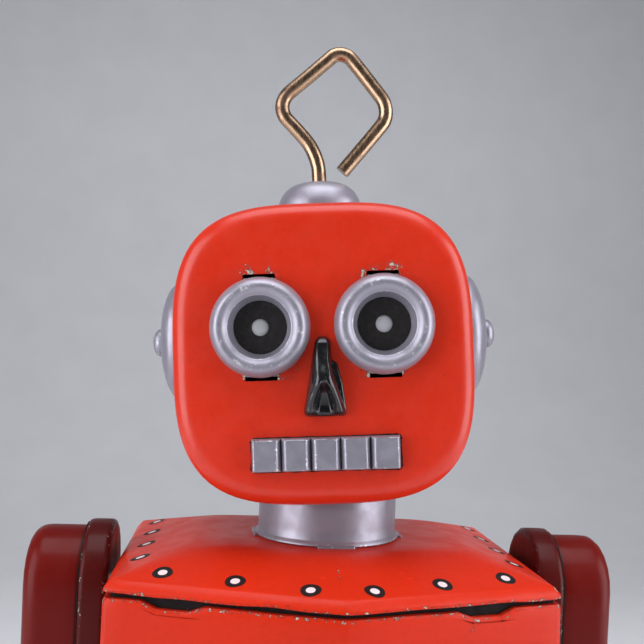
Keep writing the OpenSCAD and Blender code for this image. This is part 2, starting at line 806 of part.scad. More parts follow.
// A barrel and two flat wings, each with a finger hole.
module key() {
    x0 = torso_w / 2 + 0.9 + side_gap;
    wing_r = key_reach * 0.42;
    color("silver") difference() {
        union() {
            rod_x_wise(arbor_at, arbor_r + 1.4, x0, torso_w / 2 + key_l);
            translate([torso_w / 2 + key_l - 4, arbor_at[0], arbor_at[1]]) for (s = [-1, 1]) hull() {
                translate([5, s * (key_reach - wing_r), -0.6]) cylinder(r = wing_r, h = 1.2);
                translate([0, s > 0 ? 0 : -2, -0.6]) cube([6, 2, 1.2]);
            }
        }
        rod_x_wise(arbor_at, arbor_r, x0 - 1, torso_w / 2 + key_l - 2);
        for (s = [-1, 1])
            translate([torso_w / 2 + key_l + 1, arbor_at[0] + s * (key_reach - wing_r), arbor_at[1] - 2])
                cylinder(r = wing_r * 0.45, h = 4);
    }
}

module great_wheel() {
    color("gold") side_on(great_x) translate(arbor_at) rotate([0, 0, arbor_angle + 180])
        gear(wheel_teeth, wheel_t, arbor_r + run_gap);
}

click_at = arbor_at + 8.2 * [cos(150), sin(150)];

// The click lies on the great wheel, its beak just clear of the ratchet's teeth.
module click() {
    beak = arbor_at + (ratchet_r + 0.35) * [cos(112), sin(112)];
    color("silver") side_on(great_x + wheel_t) linear_extrude(ratchet_t) hull() {
        translate(click_at) circle(r = 1.5);
        translate(beak + 0.5 * [cos(112), sin(112)]) circle(r = 0.5);
    }
}

module click_spring() {
    color("silver") side_on(great_x + wheel_t) translate(arbor_at) rotate([0, 0, 185])
        rotate_extrude(angle = 95) translate([10.3, 0]) square([0.4, ratchet_t]);
}

module crank_axle() {
    reach = crank_disc_x + crank_disc_t;
    color("silver") rod_x_wise(crank_at, axle_r, -reach, reach);
}

module crank_pinion() {
    color("silver") side_on(great_x - 0.4) translate(crank_at)
        rotate([0, 0, arbor_angle + 180 / pinion_teeth]) gear(pinion_teeth, wheel_t + 0.8, axle_r);
}

module crank_wheel() {
    color("gold") side_on(crank_wheel_x) translate(crank_at) rotate([0, 0, 90])
        gear(wheel_teeth, wheel_t, axle_r);
}

// A disc with its pin at the top or the bottom of its turn; the pin ends just short of the lever.
module crank(up) {
    color("silver") difference() {
        union() {
            rod_x_wise(crank_at, crank_disc_r, crank_disc_x, crank_disc_x + crank_disc_t);
            rod_x_wise(crank_at + [0, up * crank_throw], pin_r, crank_disc_x, lever_x - 0.4);
        }
        rod_x_wise(crank_at, axle_r, crank_disc_x - 1, crank_disc_x + crank_disc_t + 1);
    }
}

module crank_left() { crank(1); }
module crank_right() { mirror([1, 0, 0]) crank(-1); }

module governor_arbor() {
    reach = plate_x + steel_t + 0.6;
    color("silver") rod_x_wise(governor_at, pivot_r, -reach, reach);
}

module governor_pinion() {
    color("silver") side_on(crank_wheel_x - 0.4) translate(governor_at)
        rotate([0, 0, -90 + 180 / pinion_teeth]) gear(pinion_teeth, wheel_t + 0.8, pivot_r);
}

// A bar with a round weight at each end.
module governor_fly() {
    color("gold") side_on(-4) translate(governor_at) difference() {
        union() {
            cylinder(r = 2.6, h = 4);
            translate([-7, -1.2, 1]) cube([14, 2.4, 2]);
            for (s = [-1, 1]) translate([s * 7, 0, 0]) cylinder(r = 2, h = 4);
        }
        translate([0, 0, -1]) cylinder(r = pivot_r, h = 6);
    }
}

// ---- Legs ----

module leg_box(inset, z0, z1) {
    translate([leg_x, 0, z0]) linear_extrude(z1 - z0) offset(r = 2 - inset / 2) offset(delta = inset / 2 - 2)
        square([leg_w - 2 * inset, leg_d - 2 * inset], center = true);
}

module leg() {
    top = skirt_z - leg_top_gap;
    color("firebrick") difference() {
        leg_box(0, foot_h, top);
        leg_box(tin, foot_h - 1, top - tin);
    }
}

module leg_left() { leg(); }
module leg_right() { on_right() leg(); }

module foot_solid(d) {
    low = d > 0 ? 0 : tin;
    hull() {
        translate([leg_x - foot_w / 2 + d, -leg_d / 2 - 1 + d, low])
            cube([foot_w - 2 * d, leg_d / 2 + 1 + foot_heel - 2 * d, foot_h - low - d]);
        for (s = [-1, 1])
            translate([leg_x + s * (foot_w / 2 - toe_r), -foot_front + toe_r, low])
                cylinder(r = toe_r - d, h = toe_h - low - d, $fn = 32);
    }
}

module foot() {
    color("firebrick") difference() {
        foot_solid(0);
        foot_solid(tin);
    }
}

module foot_left() { foot(); }
module foot_right() { on_right() foot(); }

module sole() {
    color("dimgray") hull() {
        translate([leg_x - foot_w / 2, -leg_d / 2 - 1, 0]) cube([foot_w, leg_d / 2 + 1 + foot_heel, tin]);
        for (s = [-1, 1])
            translate([leg_x + s * (foot_w / 2 - toe_r), -foot_front + toe_r, 0])
                cylinder(r = toe_r, h = tin, $fn = 32);
    }
}

module sole_left() { sole(); }
module sole_right() { on_right() sole(); }

// A steel lever: a foot on the leg's top, a hub on the hip pin, a slot for the crank pin and a rod pin.
module leg_lever() {
    top = skirt_z - leg_top_gap;
    slot_z = hip_z + crank_up;
    color("silver") difference() {
        union() {
            side_on(lever_x) linear_extrude(steel_t) difference() {
                union() {
                    hull() {
                        translate([0, slot_z + crank_throw + 3]) circle(r = 3.4);
                        translate([0, hip_z]) circle(r = 3.6);
                    }
                    translate([-3.6, top]) square([7.2, hip_z - top]);
                    hull() {
                        translate([-rod_arm, hip_z]) circle(r = 2);
                        translate([0, hip_z]) circle(r = 2.6);
                    }
                }
                hull() for (s = [-1, 1])
                    translate([0, slot_z + s * (crank_throw + 0.6)]) circle(r = pin_r + 0.15);
            }
            rod_x_wise([0, hip_z], lever_hub_r, lever_x - 0.6, lever_x + steel_t + 0.6);
            rod_x_wise([-rod_arm, hip_z], pin_r, lever_x, rod_x + rod_t + 0.4);
            translate([leg_x - 7, -5, top]) cube([14, 10, steel_t]);
            for (s = [-1, 1]) translate([leg_x + s * 4.6, 0, top]) cylinder(r = 1.3, h = steel_t + 0.6);
        }
        rod_x_wise([0, hip_z], hip_pin_r + run_gap, lever_x - 2, lever_x + 3);
    }
}

module leg_lever_left() { leg_lever(); }
module leg_lever_right() { on_right() leg_lever(); }

// ---- Arms ----

module arm_outline(d) {
    hull() {
        translate([shoulder_y, arm_top_z]) circle(r = arm_top_r - d);
        translate(elbow_at) circle(r = elbow_r - d);
    }
    hull() {
        translate(elbow_at) circle(r = elbow_r - d);
        translate(wrist_at) circle(r = wrist_r - d);
    }
}

// The inner pressing is a tray with a flange that the outer one closes.
module arm_inner() {
    w = arm_seam - arm_x;
    color("firebrick") side_on(arm_x) difference() {
        linear_extrude(w) arm_outline(-arm_lip);
        translate([0, 0, tin]) linear_extrude(w - 2 * tin) arm_outline(tin - arm_lip);
        translate([0, 0, w - 2 * tin]) linear_extrude(w) arm_outline(tin);
        translate([shoulder_at[0], shoulder_at[1], -1]) cylinder(r = shaft_r, h = 3);
    }
}

module arm_outer() {
    w = arm_x + arm_w - arm_seam;
    color("orangered") side_on(arm_seam) difference() {
        linear_extrude(w) arm_outline(0);
        translate([0, 0, -tin]) linear_extrude(w) arm_outline(tin);
    }
}

module arm_inner_left() { arm_inner(); }
module arm_inner_right() { on_right() arm_inner(); }
module arm_outer_left() { arm_outer(); }
module arm_outer_right() { on_right() arm_outer(); }

// A C-shaped claw whose mouth looks along the forearm.
module claw() {
    a = 180 + forearm_drop;
    color("lightsteelblue") side_on(claw_x - claw_w / 2) difference() {
        translate(claw_at) rotate([0, 0, a + claw_mouth / 2]) rotate_extrude(angle = 360 - claw_mouth)
            translate([claw_r - claw_t, 0]) square([claw_t, claw_w]);
        translate([0, 0, -1]) linear_extrude(claw_w + 2) arm_outline(0);
    }
}

module claw_left() { claw(); }
module claw_right() { on_right() claw(); }

// The shaft turns in the wall's bush; its lever carries the rod's upper pin.
module shoulder_shaft() {
    pin_at = shoulder_at + [rod_arm, 0];
    color("silver") {
        rod_x_wise(shoulder_at, shaft_r, arm_lever_x, arm_x + tin + 1.2);
        rod_x_wise(shoulder_at, shaft_r + 1.2, arm_x + tin, arm_x + tin + 1.2);
        side_on(arm_lever_x) linear_extrude(steel_t) hull() {
            translate(shoulder_at) circle(r = 2.8);
            translate(pin_at) circle(r = 2);
        }
        rod_x_wise(pin_at, pin_r, rod_x - 0.6, arm_lever_x);
    }
}

module shoulder_shaft_left() { shoulder_shaft(); }
module shoulder_shaft_right() { on_right() shoulder_shaft(); }

// A flat link from the arm lever's pin down to the leg lever's pin.
module rod_link() {
    top = shoulder_at + [rod_arm, 0];
    low = [-rod_arm, hip_z];
    color("silver") side_on(rod_x) difference() {
        linear_extrude(rod_t) union() {
            hull() {
                translate(top) circle(r = 1.5);
                translate(low) circle(r = 1.5);
            }
            translate(top) circle(r = 2.2);
            translate(low) circle(r = 2.4);
        }
        translate([top[0], top[1], -1]) cylinder(r = pin_r + run_gap, h = 3);
        translate([low[0], low[1], -1]) cylinder(r = pin_r + 0.45, h = 3);
    }
}

module rod_left() { rod_link(); }
module rod_right() { on_right() rod_link(); }

head_front();
head_back();
eye_ring_left();
eye_ring_right();
eye_disc_left();
eye_disc_right();
pupils();
nose();
teeth();
ear_left();
ear_right();
ear_rivets();
antenna_cap();
antenna_wire();
antenna_washer();
torso_front();
torso_back();
shoulder_lid();
base_plate();
neck();
wall_bushes();
motor_plate_left();
motor_plate_right();
motor_pillars();
motor_screws();
mainspring();
hip_pins();
winding_arbor();
ratchet_wheel();
key();
great_wheel();
click();
click_spring();
crank_axle();
crank_pinion();
crank_wheel();
crank_left();
crank_right();
governor_arbor();
governor_pinion();
governor_fly();
leg_left();
leg_right();
foot_left();
foot_right();
sole_left();
sole_right();
leg_lever_left();
leg_lever_right();
arm_inner_left();
arm_inner_right();
arm_outer_left();
arm_outer_right();
claw_left();
claw_right();
shoulder_shaft_left();
shoulder_shaft_right();
rod_left();
rod_right();
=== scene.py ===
"""The looks of a tin wind-up robot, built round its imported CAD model.

Pieces are drawn in millimetres and become metres in place(). The robot faces -Y, stands on z = 0 and
its left is +X. The head's pieces are drawn about the middle of the head, upright, and then posed as
the CAD's head is.
"""
import json
import math

import bmesh
import bpy
import numpy as np
from mathutils import Matrix, Vector, noise
from mathutils.bvhtree import BVHTree


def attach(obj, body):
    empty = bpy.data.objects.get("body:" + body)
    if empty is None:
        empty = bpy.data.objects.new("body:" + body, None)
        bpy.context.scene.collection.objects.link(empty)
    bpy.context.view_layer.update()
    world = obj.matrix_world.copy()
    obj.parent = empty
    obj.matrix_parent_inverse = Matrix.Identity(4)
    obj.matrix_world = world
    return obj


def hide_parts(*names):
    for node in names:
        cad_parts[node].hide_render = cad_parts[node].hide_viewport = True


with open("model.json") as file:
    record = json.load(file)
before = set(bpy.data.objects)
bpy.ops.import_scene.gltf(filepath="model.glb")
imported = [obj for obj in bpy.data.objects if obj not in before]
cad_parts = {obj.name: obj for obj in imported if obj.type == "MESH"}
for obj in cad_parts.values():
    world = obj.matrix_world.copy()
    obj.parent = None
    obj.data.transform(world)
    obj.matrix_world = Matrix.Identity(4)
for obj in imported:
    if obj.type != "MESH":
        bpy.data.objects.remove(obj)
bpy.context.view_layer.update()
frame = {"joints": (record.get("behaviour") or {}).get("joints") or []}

MM = 0.001

# The head: the same sizes and pose as the CAD's.
HEAD_W, HEAD_H, HEAD_D = 50.0, 50.0, 42.0
HEAD_CURVE = 3.3          # squareness of the outline
HEAD_EDGE = 3.0           # radius of the pressed edge
HEAD_COVER = 7.0          # depth of the back cover
HEAD_TURN, HEAD_LEAN = -6.0, -4.0
FACE_Y = -HEAD_D / 2
SEAM_Y = HEAD_D / 2 - HEAD_COVER
TIN = 0.5
EYE_X, EYE_Z, EYE_R = 10.15, 4.4, 8.2
NOSE_TOP, NOSE_L = 2.6, 13.0
TEETH_W, TEETH_H, TEETH_Z, TEETH_RISE, TEETH_N = 24.2, 5.4, -16.4, 1.7, 5
EAR_R, EAR_Y, EAR_Z = 11.4, 2.3, 2.8
WIRE_R = 1.35

# The body
NECK_R = 12.6
NECK_AXIS = next(j["pos_m"] for j in frame["joints"] if j["name"] == "head_swivel")
HEAD_Z = NECK_AXIS[2] / MM
LID_Z = 154.0             # flat top of the lid
BODY_W, BODY_FRONT, BODY_PEAK, BODY_BACK = 74.8, 21.0, 11.0, 31.4
SKIRT_Z = 66.0
WALL_TOP = 147.3
SEAM_BACK = 22.0          # where the front shell meets the back shell
INK_LIFT = 0.045          # how far a print lies off its panel

HEAD_POSE = (
    Matrix.Translation((0, 0, HEAD_Z * MM))
    @ Matrix.Rotation(math.radians(HEAD_TURN), 4, "Z")
    @ Matrix.Rotation(math.radians(HEAD_LEAN), 4, "Y")
    @ Matrix.Translation((0, 0, HEAD_H / 2 * MM))
)


# ---------- Shaders ----------

class Shader:
    """Adds nodes to one material and links them. Distances in its patterns are millimetres."""

    def __init__(self, name):
        self.material = bpy.data.materials.new(name)
        self.material.use_nodes = True
        self.tree = self.material.node_tree
        self.tree.nodes.clear()
        out = self.node("ShaderNodeOutputMaterial")
        self.surface = self.node("ShaderNodeBsdfPrincipled")
        self.tree.links.new(self.surface.outputs["BSDF"], out.inputs["Surface"])

    def node(self, kind, **settings):
        made = self.tree.nodes.new(kind)
        for key, value in settings.items():
            setattr(made, key, value)
        return made

    def put(self, socket, value):
        """Links a node's output to a socket, or writes a plain value there."""
        if isinstance(value, bpy.types.NodeSocket):
            self.tree.links.new(value, socket)
        elif isinstance(value, (tuple, list)) and socket.type == "RGBA":
            socket.default_value = (*value[:3], 1)
        else:
            socket.default_value = value

    def places(self):
        """The piece's own coordinates in millimetres, which stay with it when it moves."""
        at = self.node("ShaderNodeTexCoord").outputs["Object"]
        scaled = self.node("ShaderNodeVectorMath", operation="SCALE")
        self.put(scaled.inputs[0], at)
        scaled.inputs["Scale"].default_value = 1 / MM
        return scaled.outputs[0]

    def drawn(self):
        """The coordinates the piece was drawn in, in millimetres."""
        return self.node("ShaderNodeAttribute", attribute_name="drawn").outputs["Vector"]

    def wear(self):
        """How tightly the surface is rounded outwards, from mark_wear()."""
        return self.node("ShaderNodeAttribute", attribute_name="wear").outputs["Fac"]

    def stretched(self, at, factors):
        made = self.node("ShaderNodeVectorMath", operation="MULTIPLY")
        self.put(made.inputs[0], at)
        made.inputs[1].default_value = factors
        return made.outputs[0]

    def noise(self, at, per_mm, detail=2.0, rough=0.5):
        made = self.node("ShaderNodeTexNoise")
        self.put(made.inputs["Vector"], at)
        made.inputs["Scale"].default_value = per_mm
        made.inputs["Detail"].default_value = detail
        made.inputs["Roughness"].default_value = rough
        return made.outputs["Fac"]

    def math(self, operation, a, b=0.0):
        made = self.node("ShaderNodeMath", operation=operation)
        self.put(made.inputs[0], a)
        self.put(made.inputs[1], b)
        return made.outputs[0]

    def between(self, value, low, high, to_low=0.0, to_high=1.0):
        """Runs smoothly from to_low to to_high as a value goes from low to high."""
        made = self.node("ShaderNodeMapRange", interpolation_type="SMOOTHSTEP")
        self.put(made.inputs["Value"], value)
        for socket, limit in (("From Min", low), ("From Max", high), ("To Min", to_low), ("To Max", to_high)):
            made.inputs[socket].default_value = limit
        return made.outputs["Result"]

    def mix(self, share, a, b):
        made = self.node("ShaderNodeMix", data_type="RGBA")
        self.put(made.inputs["Factor"], share)
        self.put(made.inputs["A"], a)
        self.put(made.inputs["B"], b)
        return made.outputs["Result"]

    def near(self, at, points, reach):
        """1 at the points, falling to 0 at reach millimetres from them."""
        best = None
        for point in points:
            gap = self.node("ShaderNodeVectorMath", operation="DISTANCE")
            self.put(gap.inputs[0], at)
            gap.inputs[1].default_value = point
            best = gap.outputs["Value"] if best is None else self.math("MINIMUM", best, gap.outputs["Value"])
        return self.between(best, 0.0, reach, 1.0, 0.0)

    def bump(self, height, distance_mm, strength=1.0, below=None):
        """A relief, laid over another one where there is one below."""
        made = self.node("ShaderNodeBump")
        self.put(made.inputs["Height"], height)
        made.inputs["Distance"].default_value = distance_mm * MM
        made.inputs["Strength"].default_value = strength
        if below is not None:
            self.put(made.inputs["Normal"], below)
        return made.outputs["Normal"]

    def finish(self, colour, rough, normal=None, metal=0.0, coat=0.0, coat_rough=0.1, specular=0.5):
        self.put(self.surface.inputs["Base Color"], colour)
        self.put(self.surface.inputs["Roughness"], rough)
        self.put(self.surface.inputs["Metallic"], metal)
        self.surface.inputs["Coat Weight"].default_value = coat
        self.surface.inputs["Coat Roughness"].default_value = coat_rough
        self.surface.inputs["Specular IOR Level"].default_value = specular
        if normal is not None:
            self.put(self.surface.inputs["Normal"], normal)
        return self.material


def shade(colour, by):
    return tuple(min(1.0, c * by) for c in colour)


def tin_paint(name, colour, chipped, gloss, chip_spots=(), rough=0.34):
    """Lithographed enamel on tinplate: mottled tone, dirt specks, hairline scratches, chips on its edges."""
    s = Shader(name)
    at = s.places()
    tone = s.mix(s.noise(at, 0.035, 3), shade(colour, 0.84), shade(colour, 1.12))
    tone = s.mix(s.between(s.noise(at, 0.9, 5, 0.7), 0.42, 0.75, 0.0, 0.22), tone, shade(colour, 0.6))
    scratch = s.between(s.noise(s.stretched(at, (0.35, 0.4, 4.0)), 1.1, 2), 0.705, 0.73)
    scratch = s.math("MULTIPLY", scratch, s.between(s.noise(at, 0.12, 1), 0.45, 0.62))
    tone = s.mix(s.math("MULTIPLY", scratch, 0.35), tone, shade(colour, 1.9))
    dirt = s.between(s.noise(at, 1.6, 3, 0.6), 0.72, 0.77)
    tone = s.mix(s.math("MULTIPLY", dirt, 0.7), tone, (0.05, 0.012, 0.008))

    grain = s.noise(at, 1.3, 6, 0.75)
    worn = s.math("ADD", s.math("MULTIPLY", s.wear(), 0.34), grain)
    if chip_spots:
        spots = s.near(s.drawn(), chip_spots, 3.6)
        worn = s.math("ADD", worn, s.math("MULTIPLY", spots, 0.2))
    limit = 1.06 - 0.16 * chipped
    rim = s.between(worn, limit - 0.05, limit - 0.01)
    bare = s.between(worn, limit, limit + 0.03)
    tone = s.mix(s.math("MULTIPLY", rim, 0.85), tone, (0.035, 0.012, 0.010))
    tone = s.mix(bare, tone, (0.50, 0.44, 0.36))

    roughness = s.math("ADD", s.between(s.noise(at, 0.25, 4), 0.3, 0.7, rough - 0.05, rough + 0.07),
                       s.math("MULTIPLY", rim, 0.25))
    waves = s.bump(s.noise(at, 0.06, 1), 0.5, 0.35)
    skin = s.bump(s.noise(at, 2.5, 2), 0.012, 0.5, waves)
    chips = s.bump(s.math("SUBTRACT", 1.0, rim), 0.05, 0.8, skin)
    return s.finish(tone, roughness, chips, coat=0.5 * gloss, coat_rough=0.14, specular=gloss)


def silver_lacquer(name, colour, worn, rough=0.38):
    """Metallic lacquer with a lavender cast, fine flake, small dark pits and bright rubbed edges."""
    s = Shader(name)
    at = s.places()
    tone = s.mix(s.noise(at, 0.07, 3), shade(colour, 0.86), shade(colour, 1.15))
    tone = s.mix(s.between(s.noise(at, 9.0, 1), 0.35, 0.7, 0.0, 0.3), tone, shade(colour, 1.4))
    pits = s.between(s.noise(at, 1.9, 3, 0.6), 0.72, 0.76)
    tone = s.mix(s.math("MULTIPLY", pits, 0.75), tone, (0.06, 0.05, 0.06))
    rubbed = s.between(s.math("ADD", s.math("MULTIPLY", s.wear(), 0.3), s.noise(at, 1.1, 5, 0.7)), 0.84, 0.92)
    tone = s.mix(s.math("MULTIPLY", rubbed, 0.8), tone, worn)
    roughness = s.between(s.noise(at, 0.5, 4), 0.3, 0.7, rough - 0.05, rough + 0.08)
    normal = s.bump(s.noise(at, 5.0, 2), 0.01, 0.5, s.bump(s.noise(at, 0.12, 2), 0.25, 0.3))
    return s.finish(tone, roughness, normal, metal=0.5, coat=0.12, coat_rough=0.22)


def black_enamel(name, rough, colour=(0.006, 0.006, 0.007)):
    """Thick glossy black enamel with soft runs and a little dust."""
    s = Shader(name)
    at = s.places()
    tone = s.mix(s.between(s.noise(at, 1.7, 4), 0.62, 0.8), colour, (0.045, 0.035, 0.033))
    roughness = s.between(s.noise(at, 0.9, 3), 0.35, 0.75, rough, rough + 0.16)
    runs = s.bump(s.noise(at, 0.55, 2), 0.2, 0.4)
    return s.finish(tone, roughness, runs, coat=0.3, coat_rough=0.04, specular=0.4)


def metal(name, colour, rough, aged=(0.10, 0.08, 0.06), age=0.35, brushed=(1, 1, 1)):
    """Bare or plated metal, brushed one way, with tarnish in patches."""
    s = Shader(name)
    at = s.places()
    lines = s.noise(s.stretched(at, brushed), 2.2, 4, 0.7)
    tone = s.mix(lines, shade(colour, 0.8), shade(colour, 1.15))
    stain = s.between(s.noise(at, 0.22, 6, 0.65), 0.50, 0.72, 0.0, age)
    tone = s.mix(stain, tone, aged)
    roughness = s.math("ADD", s.between(lines, 0.3, 0.7, rough - 0.05, rough + 0.07),
                       s.math("MULTIPLY", stain, 0.3))
    return s.finish(tone, roughness, s.bump(lines, 0.015, 0.4), metal=1.0)


def print_ink(name, colour, rough=0.45):
    """Printed ink on tin, slightly uneven and scuffed."""
    s = Shader(name)
    at = s.places()
    tone = s.mix(s.noise(at, 0.8, 4), shade(colour, 0.82), shade(colour, 1.1))
    scuff = s.between(s.noise(at, 1.4, 5, 0.7), 0.66, 0.75, 0.0, 0.6)
    tone = s.mix(scuff, tone, (0.30, 0.06, 0.03))
    return s.finish(tone, s.between(s.noise(at, 0.7, 3), 0.3, 0.7, rough - 0.05, rough + 0.1), specular=0.2)


SLOT_SPOTS = [(x + dx, FACE_Y, EYE_Z + z) for x in (-EYE_X, EYE_X) for dx in (-1.6, 1.6) for z in (-8.9, 9.1)]
TEETH_SPOTS = [(x, FACE_Y, TEETH_Z + z) for x in (-6.0, 2.0, 9.0) for z in (-3.0, 3.0)]
RED = (0.58, 0.024, 0.006)
# ARM_RED, on the arms' outer pressings, is far darker than RED although they are the same red tin: painted
# shade. DARK_RED, on their inner pressings, is partly their darker printed shading and partly painted shade.
ARM_RED = (0.13, 0.007, 0.005)
LEG_RED = (0.17, 0.008, 0.005)
DARK_RED = (0.07, 0.006, 0.005)
MATERIALS = {
    "face": tin_paint("face red", RED, 0.45, 0.32, SLOT_SPOTS + TEETH_SPOTS),
    "red": tin_paint("body red", RED, 0.9, 0.12),
    "arm_red": tin_paint("arm red", ARM_RED, 0.8, 0.09),
    "leg_red": tin_paint("leg red", LEG_RED, 0.9, 0.15),
    "dark_red": tin_paint("dark red", DARK_RED, 0.8, 0.09),
    "silver": silver_lacquer("silver lacquer", (0.27, 0.255, 0.30), (0.66, 0.64, 0.64)),
    "black": black_enamel("black enamel", 0.13),
    "eye": black_enamel("eye black", 0.2, (0.024, 0.021, 0.021)),
    "wire": metal("aged bronze wire", (0.43, 0.28, 0.18), 0.26, (0.12, 0.060, 0.045), 0.85, (1, 1, 0.25)),
    "steel": metal("steel", (0.56, 0.56, 0.57), 0.32, brushed=(0.2, 1, 1)),
    "plated": metal("plated steel", (0.66, 0.66, 0.68), 0.2, age=0.2),
    "brass": metal("brass", (0.72, 0.53, 0.24), 0.28, (0.25, 0.14, 0.05)),
    "blued": metal("blued spring", (0.10, 0.13, 0.22), 0.28),
    "sole": metal("sole tin", (0.30, 0.30, 0.31), 0.45, age=0.7),
    "ink": print_ink("black ink", (0.012, 0.010, 0.010)),
    # The near-black strips inside the lid use this: painted shade for the gap under the lid.
    "soot": print_ink("painted gap shade", (0.010, 0.006, 0.006), 0.75),
    "pale": print_ink("pale ink", (0.82, 0.66, 0.66)),
    "pupil": print_ink("pupil grey", (0.42, 0.42, 0.43)),
    "yellow": print_ink("yellow ink", (0.75, 0.45, 0.05)),
    "blue": print_ink("blue ink", (0.05, 0.12, 0.30)),
}


# ---------- Meshes ----------

def mark_wear(mesh):
    """Stores how tightly the outward edges at each vertex are bent: 0 is flat, 1 is 1 mm or less."""
    bm = bmesh.new()
    bm.from_mesh(mesh)
    worn = np.zeros(len(bm.verts))
    for edge in bm.edges:
        if len(edge.link_faces) == 2 and edge.is_convex:
            here, there = (face.calc_center_median() for face in edge.link_faces)
            tight = min(1.0, edge.calc_face_angle(0.0) / max((here - there).length, 0.05))
            for v in edge.verts:
                worn[v.index] = max(worn[v.index], tight)
    bm.free()
    made = mesh.attributes.new("wear", "FLOAT", "POINT")
    made.data.foreach_set("value", worn.astype(np.float32))


def place(name, verts, faces, material, body, slot, instead_of=(), pose=Matrix.Identity(4), sharp=38):
    """Makes a piece from points in millimetres, poses it, ties it to its CAD body and hides the CAD nodes
    that it stands in for.
    """
    mesh = bpy.data.meshes.new(name)
    mesh.from_pydata([tuple(v) for v in verts], [], [tuple(f) for f in faces])
    bm = bmesh.new()
    bm.from_mesh(mesh)
    bmesh.ops.remove_doubles(bm, verts=bm.verts, dist=0.0005)
    bmesh.ops.recalc_face_normals(bm, faces=bm.faces)
    bm.to_mesh(mesh)
    bm.free()
    mesh.validate()
    drawn = mesh.attributes.new("drawn", "FLOAT_VECTOR", "POINT")
    flat = np.zeros(len(mesh.vertices) * 3, np.float32)
    mesh.vertices.foreach_get("co", flat)
    drawn.data.foreach_set("vector", flat)
    mark_wear(mesh)
    mesh.shade_smooth()
    mesh.set_sharp_from_angle(angle=math.radians(sharp))
    mesh.transform(pose @ Matrix.Scale(MM, 4))
    mesh.materials.append(MATERIALS[material])
    piece = bpy.data.objects.new(name, mesh)
    bpy.context.scene.collection.objects.link(piece)
    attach(piece, body)
    if instead_of:
        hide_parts(*instead_of)
    return piece


def mirrored(part):
    """The same piece on the robot's other side."""
    verts, faces = part
    return [(-v[0], v[1], v[2]) for v in verts], faces


def sided(build, name, side, *args, **kwargs):
    """Draws the robot's left piece, or its mirror image on the right."""
    part = build() if side == "left" else mirrored(build())
    return place(f"{name}_{side}", *part, *args, **kwargs)


def joined(*parts):
    """One list of points and faces from several."""
    verts, faces = [], []
    for v, f in parts:
        faces += [tuple(i + len(verts) for i in face) for face in f]
        verts += list(v)
    return verts, faces


def lofted(rings, close_first=True, close_last=True):
    """Joins closed rings of equal length."""
    n = len(rings[0])
    verts = [tuple(p) for ring in rings for p in ring]
    faces = [(k * n + i, k * n + (i + 1) % n, (k + 1) * n + (i + 1) % n, (k + 1) * n + i)
             for k in range(len(rings) - 1) for i in range(n)]
    if close_first:
        faces.append(tuple(range(n - 1, -1, -1)))
    if close_last:
        last = (len(rings) - 1) * n
        faces.append(tuple(range(last, last + n)))
    return verts, faces


def taken(bm):
    """The points and faces of a bmesh, which is freed."""
    bm.verts.index_update()
    part = ([tuple(v.co) for v in bm.verts], [[v.index for v in f.verts] for f in bm.faces])
    bm.free()
    return part


def smooth_curve(points, steps=6):
    """A Catmull-Rom curve through points."""
    p = [np.array(q, float) for q in points]
    p = [2 * p[0] - p[1]] + p + [2 * p[-1] - p[-2]]
    out = []
    for a, b, c, d in zip(p, p[1:], p[2:], p[3:]):
        for k in range(steps):
            t = k / steps
            out.append(0.5 * (2 * b + (c - a) * t + (2 * a - 5 * b + 4 * c - d) * t * t
                              + (3 * b - a - 3 * c + d) * t ** 3))
    out.append(p[-2])
    return [tuple(q) for q in out]


def turned(profile, n=96, about=Matrix.Identity(4)):
    """Revolves (radius, height) points about Z, and then moves them."""
    rings = [[about @ Vector((r * math.cos(2 * math.pi * i / n), r * math.sin(2 * math.pi * i / n), h))
              for i in range(n)] for r, h in profile]
    return lofted(rings, close_first=profile[0][0] > 0.001, close_last=profile[-1][0] > 0.001)


def rounded_polygon(corners, inset=0.0, arc=6, edge=6):
    """Points round a polygon of (x, y, corner radius), moved inwards; the same count for any inset."""
    n = len(corners)
    xy = [Vector(c[:2]) for c in corners]
    out = []
    for i in range(n):
        before = (xy[i] - xy[i - 1]).normalized()
        after = (xy[(i + 1) % n] - xy[i]).normalized()
        n0, n1 = Vector((before.y, -before.x)), Vector((after.y, -after.x))
        half = (n0 + n1) / (1 + n0.dot(n1))
        r = corners[i][2]
        centre = xy[i] - half * r
        bend = math.atan2(before.cross(after), before.dot(after))
        start = math.atan2(n0.y, n0.x)
        if r > inset:
            for k in range(arc + 1):
                a = start + bend * k / arc
                out.append(centre + (r - inset) * Vector((math.cos(a), math.sin(a))))
        else:
            tip = xy[i] - half * inset
            out += [tip + 0.001 * (k - arc / 2) * (after - before) for k in range(arc + 1)]
    # Straight stretches between the arcs are divided, so that patterns and dents have points to use.
    full = []
    m = len(out)
    for i in range(m):
        full.append(out[i])
        if (i + 1) % (arc + 1) == 0:
            nxt = out[(i + 1) % m]
            full += [out[i].lerp(nxt, k / edge) for k in range(1, edge)]
    return full


